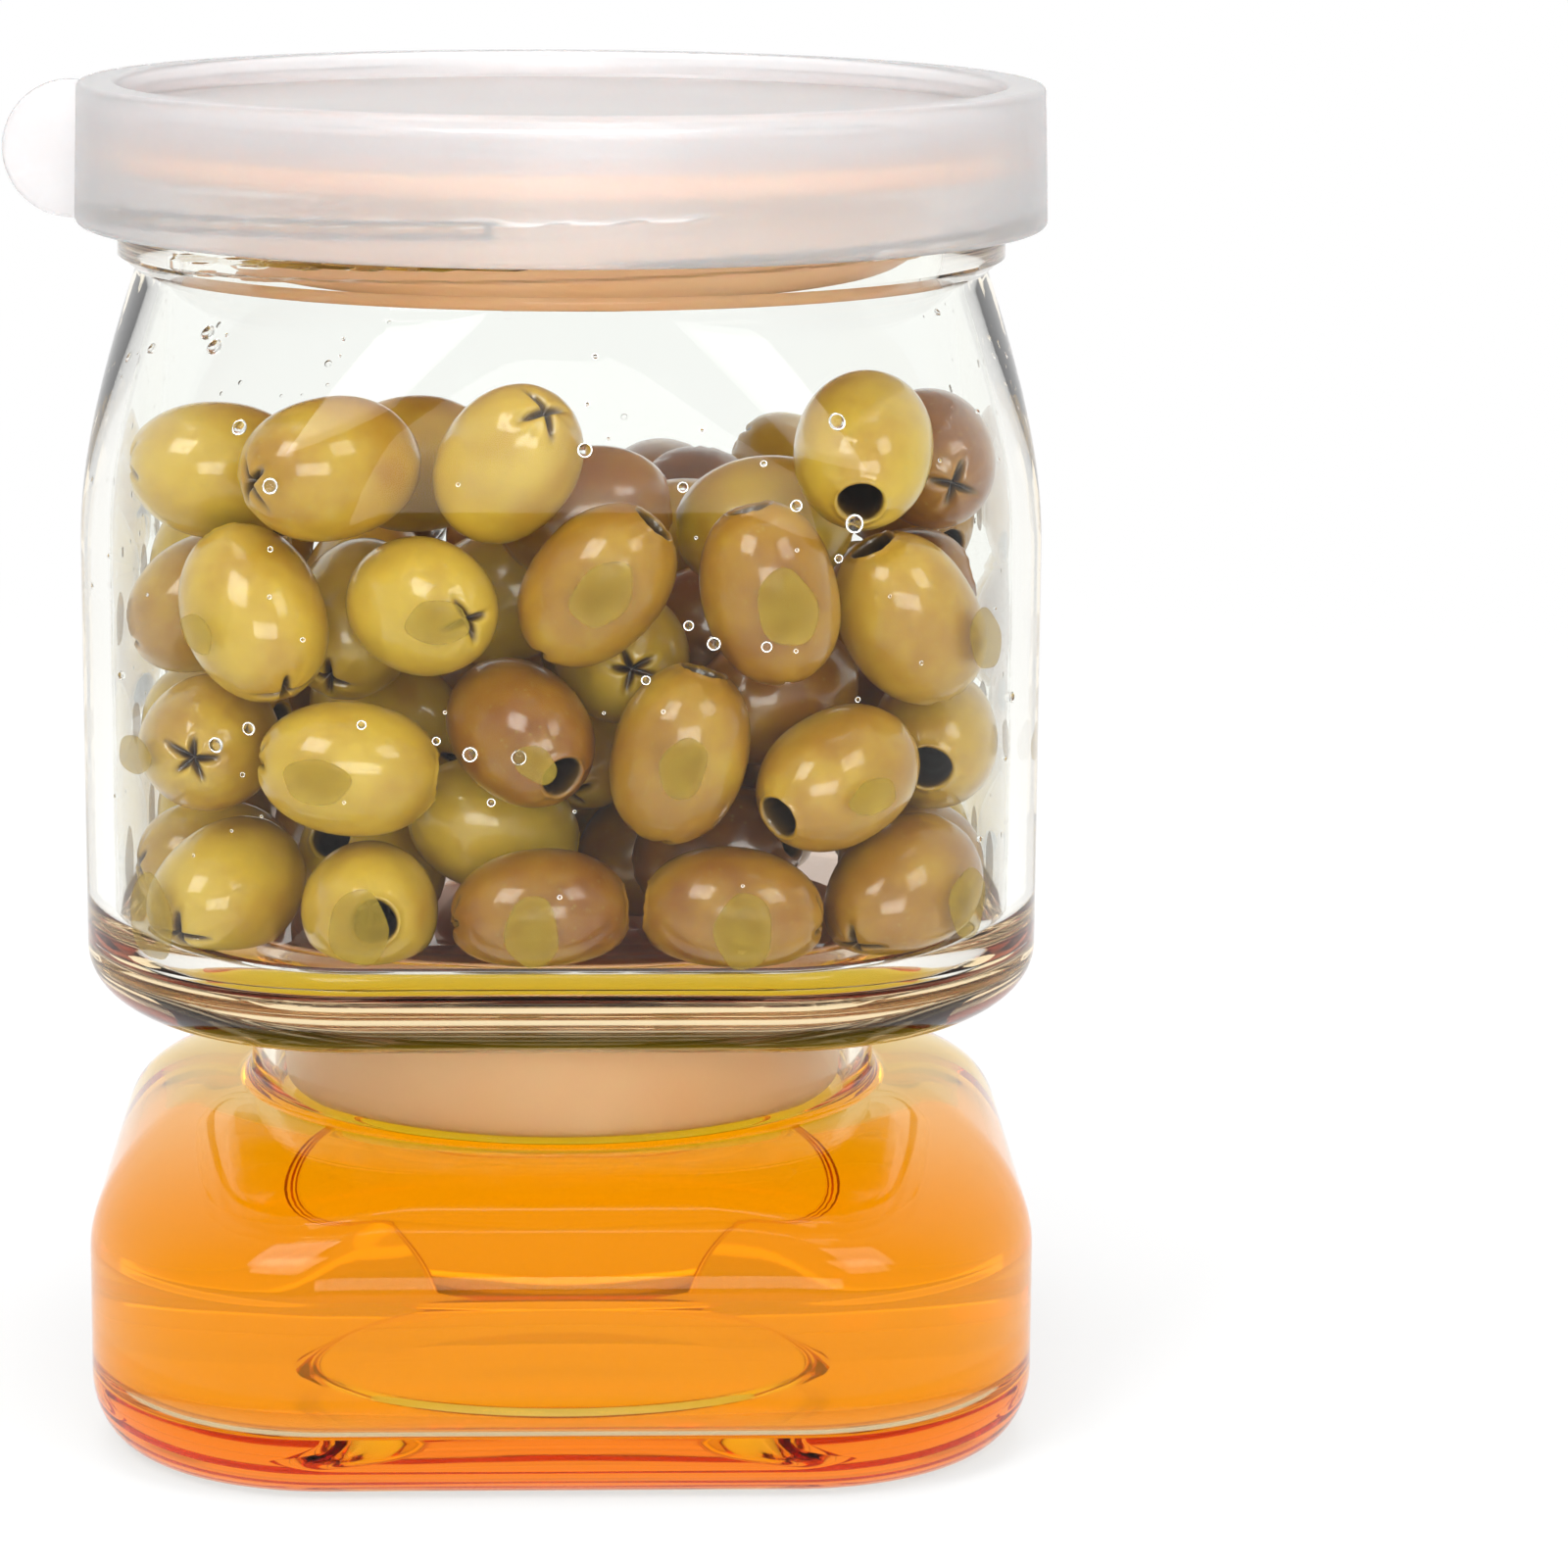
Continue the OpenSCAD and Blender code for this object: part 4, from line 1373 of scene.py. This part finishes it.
@dataclass
class OlivePile:
    """All the olives, each an instance of one of a few shapes where the frame's olive lies."""

    finish: bpy.types.Material
    nodes: Sequence[str]
    kinds: int = 7
    length: float = 20.0
    end_near: float = 0.02
    smallest: float = 0.955
    largest: float = 1.0
    seed: int = 5
    shape_seed: int = 31

    def places(self, node: str) -> list[OlivePlace]:
        """Finds the olives of one band in the frame.

        Args:
            node: The band's node.

        Returns:
            Each olive's middle and the way its hole points.
        """
        shape = bmesh.new()
        shape.from_mesh(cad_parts[node].data)
        bmesh.ops.remove_doubles(shape, verts=shape.verts, dist=1e-6)
        unseen = set(shape.verts)
        found = []
        while unseen:
            grown = [unseen.pop()]
            group = []
            while grown:
                vert = grown.pop()
                group.append(vert)
                linked = {e.other_vert(vert) for e in vert.link_edges} & unseen
                unseen -= linked
                grown += linked
            found.append(self.place_of(np.array([v.co for v in group])/MM))
        shape.free()
        return sorted(found, key=lambda p: tuple(round(c, 3) for c in p.centre))

    def place_of(self, points: np.ndarray) -> OlivePlace:
        """Finds an olive's axis and middle from its points.

        Args:
            points: The points of its skin, in millimetres.

        Returns:
            Its place.
        """
        _, _, axes = np.linalg.svd(points - points.mean(0), full_matrices=False)
        axis = axes[0]
        along = points @ axis
        ends = [along.min(), along.max()]
        counts = [int((abs(along - end) < self.end_near).sum()) for end in ends]
        if counts[0] > counts[1]:
            axis, along = -axis, -along
        across = points - np.outer(points @ axis, axis)
        middle = (across.max(0) + across.min(0))/2
        middle -= axis*(middle @ axis)
        centre = middle + axis*(along.min() + self.length/2)
        return OlivePlace(Vector(centre), Vector(axis))

    def shapes(self) -> bpy.types.Collection:
        """Makes the few shapes that the instances share."""
        kinds = bpy.data.collections.new("olive_kinds")
        for k in range(self.kinds):
            mesh = OliveShape(seed=self.shape_seed + k).mesh()
            mesh.materials.append(self.finish)
            kinds.objects.link(bpy.data.objects.new(f"olive_kind_{k}", mesh))
        return kinds

    def tree(self, kinds: bpy.types.Collection) -> bpy.types.NodeTree:
        """Builds the Geometry Nodes tree that sets the olives on their places.

        Args:
            kinds: The shapes to pick from.

        Returns:
            The tree.
        """
        tree, start = geometry_tree("set_olives", {
            "Smallest": "Float", "Largest": "Float", "Seed": "Int"})
        pick = add_node(tree, "GeometryNodeCollectionInfo", {
            "Collection": kinds, "Separate Children": True, "Reset Children": True})
        turn = add_node(tree, "GeometryNodeInputNamedAttribute", {"Name": "turn"},
                        data_type="FLOAT_VECTOR")
        rotation = add_node(tree, "FunctionNodeEulerToRotation", {0: turn.outputs[0]})
        which = add_node(tree, "FunctionNodeRandomValue", {
            "Seed": start.outputs["Seed"]}, data_type="INT")
        whole = [s for s in which.inputs if s.type == "INT"]
        whole[0].default_value, whole[1].default_value = 0, self.kinds - 1
        size = add_node(tree, "FunctionNodeRandomValue", {
            2: start.outputs["Smallest"], 3: start.outputs["Largest"],
            "Seed": start.outputs["Seed"]}, data_type="FLOAT")
        index = next(s for s in which.outputs if s.type == "INT")
        placed = add_node(tree, "GeometryNodeInstanceOnPoints", {
            "Points": start.outputs["Geometry"], "Instance": pick.outputs[0], "Pick Instance": True,
            "Instance Index": index, "Rotation": rotation.outputs[0], "Scale": size.outputs[1]})
        tone = add_node(tree, "FunctionNodeRandomValue", {"Seed": 3}, data_type="FLOAT")
        noted = add_node(tree, "GeometryNodeStoreNamedAttribute", {
            "Geometry": placed.outputs[0], "Name": "tone", "Value": tone.outputs[1]},
            data_type="FLOAT", domain="INSTANCE")
        end_geometry(tree, noted, self.finish)
        return tree

    def build(self) -> list[OlivePlace]:
        """Builds each band as one piece and returns every olive's place."""
        kinds = self.shapes()
        tree = self.tree(kinds)
        rng = np.random.default_rng(self.seed)
        every = []
        for number, node in enumerate(self.nodes, start=1):
            places = self.places(node)
            every += places
            turns = []
            for olive in places:
                spin = Matrix.Rotation(rng.uniform(0, 2*math.pi), 3, "Z")
                turn = olive.way.to_track_quat("Z", "X").to_matrix() @ spin
                turns.append(tuple(turn.to_euler()))
            mesh = bpy.data.meshes.new("olive_places")
            mesh.from_pydata([tuple(p.centre*MM) for p in places], [], [])
            layer = mesh.attributes.new("turn", "FLOAT_VECTOR", "POINT")
            layer.data.foreach_set("vector", np.array(turns, np.float32).ravel())
            holder = bpy.data.objects.new("olive_places", mesh)
            bpy.context.scene.collection.objects.link(holder)
            inputs = {"Smallest": self.smallest, "Largest": self.largest, "Seed": number}
            piece = baked(holder, tree, inputs, f"olives_band_{number}")
            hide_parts(node)
            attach(piece, Body.UPPER_JAR.value)
        return every


# ---- Wet marks on the glass ----------------------------------------------------------------------


@dataclass
class WetMarks:
    """Where olives wet the glass they touch, and the drops that hang above them."""

    contact: bpy.types.Material
    water: bpy.types.Material
    jar: UpperJar
    olives: Sequence[OlivePlace]
    touch: float = 2.2
    half_thickness: float = 7.3
    half_length: float = 9.8
    low_reach: float = 11.0
    middle_r: float = 20.0
    above_floor: float = 5.0
    below_waist: float = 24.0
    patch_r: float = 3.4
    patch_around: int = 28
    patch_rings: tuple[float, ...] = (0.35, 0.75, 1.0)
    patch_sheets: tuple[tuple[float, float], ...] = ((0.06, 1.0), (-0.12, 0.96))
    seed: int = 8
    drops_per_m2: float = 9500.0
    drops_above_floor: float = 12.0
    drops_below_waist: float = 2.0
    drop_r: tuple[float, float] = (0.18, 1.0)
    drop_around: int = 12

    def on_glass(self, point: Vector, depth: float = 0.0) -> Vector:
        """Moves a point straight out to the glass inside the jar.

        Args:
            point: The point, in millimetres.
            depth: How far into the glass it ends up.

        Returns:
            The point on the glass.
        """
        heading = math.atan2(point.y, point.x)
        reaches = self.jar.reach(point.z)
        reach = float(np.interp(heading, turns_round(), reaches, period=2*math.pi)) + depth
        return Vector((reach*math.cos(heading), reach*math.sin(heading), point.z))

    def outward(self, point: Vector) -> Vector:
        """Gives the direction square to the glass beside a point, seen from above."""
        step = Vector((-point.y, point.x, 0)).normalized()*0.5
        along = self.on_glass(point + step) - self.on_glass(point - step)
        return Vector((along.y, -along.x, 0)).normalized()

    def nearest_skin(self, olive: OlivePlace) -> tuple[float, Vector, Vector]:
        """Finds the point of an olive's skin that comes closest to the glass.

        Args:
            olive: The olive.

        Returns:
            The gap, the point on the glass and the direction out of the jar.
        """
        if math.hypot(olive.centre.x, olive.centre.y) < self.middle_r:
            return math.inf, olive.centre, Vector((1, 0, 0))
        out = self.outward(olive.centre)
        thick, long = self.half_thickness, self.half_length
        share = out.dot(olive.way)
        reach = math.hypot(thick*math.sqrt(max(0, 1 - share*share)), long*share)
        skin = olive.centre + out*(thick**2/reach) + olive.way*(share*(long**2 - thick**2)/reach)
        spot = self.on_glass(skin)
        return (spot - skin).dot(out), spot, out

    def contacts(self) -> bpy.types.Object:
        """Builds the flat pale patches where the outer olives wet the glass."""
        rng = np.random.default_rng(self.seed)
        points: list[tuple[float, float, float]] = []
        faces: list[list[int]] = []
        lowest = self.jar.floor_z + self.above_floor
        highest = self.jar.waist_z - self.below_waist
        for olive in self.olives:
            gap, spot, out = self.nearest_skin(olive)
            if gap > self.touch or not lowest < spot.z < highest:
                continue
            size = (self.patch_r - 0.6*gap)*rng.uniform(0.75, 1.15)
            side = Vector((-out.y, out.x, 0))
            long_way = olive.way - out*olive.way.dot(out)
            tilt = math.atan2(long_way.z, long_way.dot(side)) if long_way.length > 0.3 else 0.0
            if spot.z < self.jar.floor_z + self.low_reach:
                tilt, size = math.pi/2, size*1.25
            base = len(points)
            points += self.lens_points(spot, side, tilt, size, base)
            faces += self.lens_faces(base, self.patch_around, len(self.patch_rings))
        mesh = bpy.data.meshes.new("wet_contacts")
        mesh.from_pydata(points, [], faces)
        shape = bmesh.new()
        shape.from_mesh(mesh)
        bmesh.ops.recalc_face_normals(shape, faces=shape.faces)
        shape.to_mesh(mesh)
        shape.free()
        return place(mesh, "wet_contacts", self.contact)

    def lens_points(self, spot: Vector, side: Vector, tilt: float, size: float, phase: float
                    ) -> list[tuple[float, float, float]]:
        """Gives the points of one thin lens of two oval sheets that follow the glass.

        Args:
            spot: Its middle, in millimetres.
            side: The level way along the glass.
            tilt: How far its long way is turned up from that.
            size: Its size, between its half width and its half length.
            phase: Where its ragged edge starts.

        Returns:
            The points, in metres.
        """
        points = []
        for depth, scale in self.patch_sheets:
            points.append(tuple(self.on_glass(spot, depth)*MM))
            for share in self.patch_rings:
                for k in range(self.patch_around):
                    turn = 2*math.pi*k/self.patch_around
                    ragged = 1 + 0.04*math.sin(3*turn + phase) + 0.03*math.sin(5*turn + 2*phase)
                    u = size*1.25*share*scale*ragged*math.cos(turn)
                    v = size*0.9*share*scale*ragged*math.sin(turn)
                    flat = side*(u*math.cos(tilt) - v*math.sin(tilt))
                    flat += Vector((0, 0, u*math.sin(tilt) + v*math.cos(tilt)))
                    points.append(tuple(self.on_glass(spot + flat, depth)*MM))
        return points

    @staticmethod
    def lens_faces(base: int, around: int, rings: int) -> list[list[int]]:
        """Lists the faces of one thin lens of two round sheets joined at their edge.

        Args:
            base: Number of its first point.
            around: Points in a ring.
            rings: Rings in a sheet.

        Returns:
            The faces.
        """
        faces = []
        sheet = 1 + rings*around
        for side in (0, 1):
            hub = base + side*sheet
            for k in range(around):
                after = (k + 1) % around
                faces.append([hub, hub + 1 + k, hub + 1 + after])
                for ring in range(rings - 1):
                    low, high = hub + 1 + ring*around, hub + 1 + (ring + 1)*around
                    faces.append([low + k, high + k, high + after, low + after])
        edge = 1 + (rings - 1)*around
        for k in range(around):
            after = (k + 1) % around
            faces.append([base + edge + k, base + sheet + edge + k,
                          base + sheet + edge + after, base + edge + after])
        return faces

    def drop_mesh(self) -> bpy.types.Mesh:
        """Makes one drop: a low dome whose flat side lies in the glass."""
        rows = [(0.98, -0.08), (1.0, 0.0), (0.93, 0.2), (0.72, 0.4), (0.4, 0.54)]
        mesh = skin_mesh("drop", revolve(rows, self.drop_around))
        mesh.shade_smooth()
        return mesh

    def drop_tree(self, drop: bpy.types.Object) -> bpy.types.NodeTree:
        """Builds the Geometry Nodes tree that scatters drops over a wall.

        Args:
            drop: The shape of one drop, a millimetre in radius.

        Returns:
            The tree.
        """
        tree, start = geometry_tree("scatter_drops", {
            "Density": "Float", "Smallest": "Float", "Largest": "Float", "Seed": "Int"})
        spots = add_node(tree, "GeometryNodeDistributePointsOnFaces", {
            "Mesh": start.outputs["Geometry"], "Density": start.outputs["Density"],
            "Seed": start.outputs["Seed"]})
        shape = add_node(tree, "GeometryNodeObjectInfo", {"Object": drop})
        chance = add_node(tree, "FunctionNodeRandomValue", {"Seed": 4}, data_type="FLOAT")
        skewed = add_node(tree, "ShaderNodeMath", {0: chance.outputs[1], 1: 3.0}, operation="POWER")
        size = add_node(tree, "ShaderNodeMapRange", {
            "Value": skewed.outputs[0], "To Min": start.outputs["Smallest"],
            "To Max": start.outputs["Largest"]})
        placed = add_node(tree, "GeometryNodeInstanceOnPoints", {
            "Points": spots.outputs["Points"], "Instance": shape.outputs["Geometry"],
            "Rotation": spots.outputs["Rotation"], "Scale": size.outputs[0]})
        end_geometry(tree, placed, self.water)
        return tree

    def drops(self) -> bpy.types.Object:
        """Scatters drops over the inside of the wall."""
        low = self.jar.floor_z + self.drops_above_floor
        high = self.jar.waist_z - self.drops_below_waist
        rings = np.array(self.jar.inner_wall(low, high))
        wall = skin_mesh("wall_for_drops", rings[::-1], closed=False)
        holder = bpy.data.objects.new("wall_for_drops", wall)
        drop = bpy.data.objects.new("drop", self.drop_mesh())
        for made in (holder, drop):
            bpy.context.scene.collection.objects.link(made)
        smallest, largest = self.drop_r
        inputs = {"Density": self.drops_per_m2, "Smallest": smallest, "Largest": largest, "Seed": 12}
        piece = baked(holder, self.drop_tree(drop), inputs, "drops_on_glass")
        bpy.data.objects.remove(drop)
        return piece

    def build(self) -> None:
        """Builds the patches and the drops."""
        for piece, slot in ((self.contacts(), "olive_high"), (self.drops(), "brine_puddle")):
            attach(piece, Body.UPPER_JAR.value)


# ---- Studio --------------------------------------------------------------------------------------


@dataclass(frozen=True)
class Lamp:
    """A soft box that faces a point."""

    name: str
    place: tuple[float, float, float]
    size: tuple[float, float]
    watts: float
    target: tuple[float, float, float] = (0.0, 0.0, 0.08)
    colour: str = "#FFFFFF"
    mirrored: bool = True

    def build(self) -> None:
        """Hangs the lamp, which glass and liquid mirror only if it says so."""
        data = bpy.data.lights.new(self.name, "AREA")
        data.shape = "RECTANGLE"
        data.size, data.size_y = self.size
        data.energy = self.watts
        data.color = linear(self.colour)[:3]
        lamp = bpy.data.objects.new(self.name, data)
        lamp.location = self.place
        towards = Vector(self.target) - Vector(self.place)
        lamp.rotation_euler = towards.to_track_quat("-Z", "Y").to_euler()
        lamp.visible_glossy = self.mirrored
        bpy.context.scene.collection.objects.link(lamp)


@dataclass
class Studio:
    """A white sweep under soft light, with a few dark gaps that draw the edges of the glass."""

    floor_finish: bpy.types.Material
    floor_half: float = 3.0
    ambient: float = 0.88
    open_light: float = 1.0
    low_light: float = 2.1
    back_share: float = 0.6
    gap_grey: float = 0.72
    gap_count: int = 8
    front_grey: float = 0.55
    air_gap: float = 0.0001

    def build(self) -> None:
        """Builds the floor, the lamps and the world."""
        mesh = bpy.data.meshes.new("studio_floor")
        s = self.floor_half
        corners = [(-s, -s), (s, -s), (s, s), (-s, s)]
        mesh.from_pydata([(x, y, -self.air_gap) for x, y in corners], [], [(0, 1, 2, 3)])
        mesh.materials.append(self.floor_finish)
        floor = bpy.data.objects.new("studio_floor", mesh)
        bpy.context.scene.collection.objects.link(floor)
        lamps = (
            Lamp("key_soft_box", place=(-0.5, -0.7, 0.95), size=(0.5, 0.5), watts=6.0),
            Lamp("front_soft_box", place=(0.12, -0.9, 0.3), size=(0.6, 0.3), watts=3.5, mirrored=False),
            Lamp("fill_soft_box", place=(0.6, -0.6, 0.8), size=(0.4, 0.4), watts=2.4),
            Lamp("top_soft_box", place=(0.0, 0.15, 1.0), size=(0.7, 0.7), watts=3.5),
        )
        for lamp in lamps:
            lamp.build()
        self.world()

    def world(self) -> None:
        """Sets the world: white where it is seen, darker in front where it is only mirrored.

        What stands behind glass gets more light from low down, as no lamp is aimed through glass.
        """
        world = bpy.data.worlds.new("studio")
        bpy.context.scene.world = world
        world.use_nodes = True
        tree = world.node_tree
        tree.nodes.clear()
        way = add_node(tree, "ShaderNodeSeparateXYZ", {
            0: add_node(tree, "ShaderNodeTexCoord").outputs["Generated"]})
        heading = add_node(tree, "ShaderNodeMath", {
            0: way.outputs["X"], 1: way.outputs["Y"]}, operation="ARCTAN2")
        turned = add_node(tree, "ShaderNodeMath", {
            0: heading.outputs[0], 1: float(self.gap_count)}, operation="MULTIPLY")
        wave = add_node(tree, "ShaderNodeMath", {0: turned.outputs[0]}, operation="COSINE")
        gap = add_node(tree, "ShaderNodeMapRange", {
            "Value": wave.outputs[0], "From Min": -0.95, "From Max": -0.2,
            "To Min": self.gap_grey, "To Max": 1.0}, interpolation_type="SMOOTHSTEP")
        front = add_node(tree, "ShaderNodeMapRange", {
            "Value": way.outputs["Y"], "From Min": -0.35, "From Max": 0.35,
            "To Min": self.front_grey, "To Max": 1.0}, interpolation_type="SMOOTHSTEP")
        path = add_node(tree, "ShaderNodeLightPath")
        seen = after_bounce(tree, path.outputs["Glossy Depth"], gap.outputs[0], front.outputs[0])
        level = add_node(tree, "ShaderNodeMath", {0: way.outputs["Z"]}, operation="ABSOLUTE")
        low = after_bounce(tree, path.outputs["Transmission Depth"], self.open_light,
                           self.low_light)
        soft_boxes = add_node(tree, "ShaderNodeMapRange", {
            "Value": level.outputs[0], "From Min": 0.1, "From Max": 0.6,
            "To Min": low, "To Max": self.ambient}, interpolation_type="SMOOTHSTEP")
        behind = add_node(tree, "ShaderNodeMapRange", {
            "Value": way.outputs["Y"], "From Min": -0.3, "From Max": 0.5,
            "To Min": 1.0, "To Max": self.back_share}, interpolation_type="SMOOTHSTEP")
        given = add_node(tree, "ShaderNodeMath", {
            0: soft_boxes.outputs[0], 1: behind.outputs[0]}, operation="MULTIPLY")
        lit = after_bounce(tree, path.outputs["Diffuse Depth"], seen, given.outputs[0])
        strength = add_node(tree, "ShaderNodeMix", {
            "Factor": path.outputs["Is Camera Ray"], "A": lit, "B": 1.0},
            data_type="FLOAT").outputs["Result"]
        sky = add_node(tree, "ShaderNodeBackground", {
            "Color": linear("#FFFFFF"), "Strength": strength})
        add_node(tree, "ShaderNodeOutputWorld", {"Surface": sky.outputs[0]})


@dataclass(frozen=True)
class PhotoCamera:
    """The camera at the photograph's place: in front, higher than the lid and tipped down."""

    place: tuple[float, float, float] = (0.00013, -0.60216, 0.19036)
    yaw: float = 2.401
    pitch: float = 11.41
    roll: float = 0.471
    lens: float = 122.85
    sensor: float = 36.0

    def build(self) -> None:
        """Makes the camera and puts it to use."""
        yaw, pitch, roll = (math.radians(a) for a in (self.yaw, self.pitch, self.roll))
        ahead = Vector((math.sin(yaw)*math.cos(pitch), math.cos(yaw)*math.cos(pitch),
                        -math.sin(pitch)))
        right = Vector((math.cos(yaw), -math.sin(yaw), 0))
        up = right.cross(ahead)
        right, up = (right*math.cos(roll) + up*math.sin(roll),
                     up*math.cos(roll) - right*math.sin(roll))
        turn = Matrix((right, up, -ahead)).transposed().to_4x4()
        data = bpy.data.cameras.new("photo_camera")
        data.lens, data.sensor_width = self.lens, self.sensor
        data.clip_start, data.clip_end = 0.01, 20.0
        camera = bpy.data.objects.new("photo_camera", data)
        camera.matrix_world = Matrix.Translation(self.place) @ turn
        bpy.context.scene.collection.objects.link(camera)
        bpy.context.scene.camera = camera


# ---- Main ----------------------------------------------------------------------------------------


def set_view() -> None:
    """Sets how light becomes colour, and how far light goes through glass and liquid.

    Light that stays inside the glass counts as mirrored, so gloss gets as many bounces as glass.
    """
    scene = bpy.context.scene
    scene.view_settings.view_transform = "Standard"
    scene.cycles.max_bounces = BOUNCES
    scene.cycles.transmission_bounces = BOUNCES
    scene.cycles.glossy_bounces = BOUNCES
    scene.cycles.transparent_max_bounces = 16


def main() -> None:
    """Builds the keeper and the studio round it."""
    logging.basicConfig(level=logging.INFO, format="%(name)s: %(message)s")
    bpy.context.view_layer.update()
    PhotoCamera().build()
    set_view()
    Studio(StudioFloor().material()).build()
    silicone = Silicone().material()
    # The lower jar's glass gets a strong painted warm glow in its thick base, standing in for the
    # brine's light.
    lower = LowerJar(PressedGlass("soda_lime_glass_round_brine", edge_density=50.0).material())
    lower.build()
    Brine(Liquid("brine_amber", "#FFF500", 108.0).material(), lower).build()
    Dish(silicone, "lower_dish", Body.LOWER_DISH, flange_d=71.0, flange_t=1.2, top_r=32.85,
         taper=1.0, inner_r=1.0, edge=0.5).build()
    upper = UpperJar(PressedGlass().material())
    upper.build()
    # The brine layer is real; its deep red-orange tint is painted shade that darkens the floor under
    # the olives.
    Puddle(Liquid("brine_layer_painted_shade", "#DC7A26", 170.0).material(), upper).build()
    bands = [f"olives_layer_{k}" for k in range(1, 6)]
    places = OlivePile(OliveSkin().material(), bands).build()
    LOG.info("%d olives", len(places))
    drops = Liquid("brine_drops", "#FFFFFF", 0.0, mirror="#FFFFFF").material()
    WetMarks(WetContact().material(), drops, upper, places).build()
    Dish(silicone, "seal_dish", Body.SEAL_DISH, flange_d=102.8, flange_t=2.8, top_r=46.8,
         taper=3.4, groove=0.4, scoop=0.9).build()
    ScrewLid(FrostedPolypropylene().material()).build()


if __name__ == "__main__":
    main()
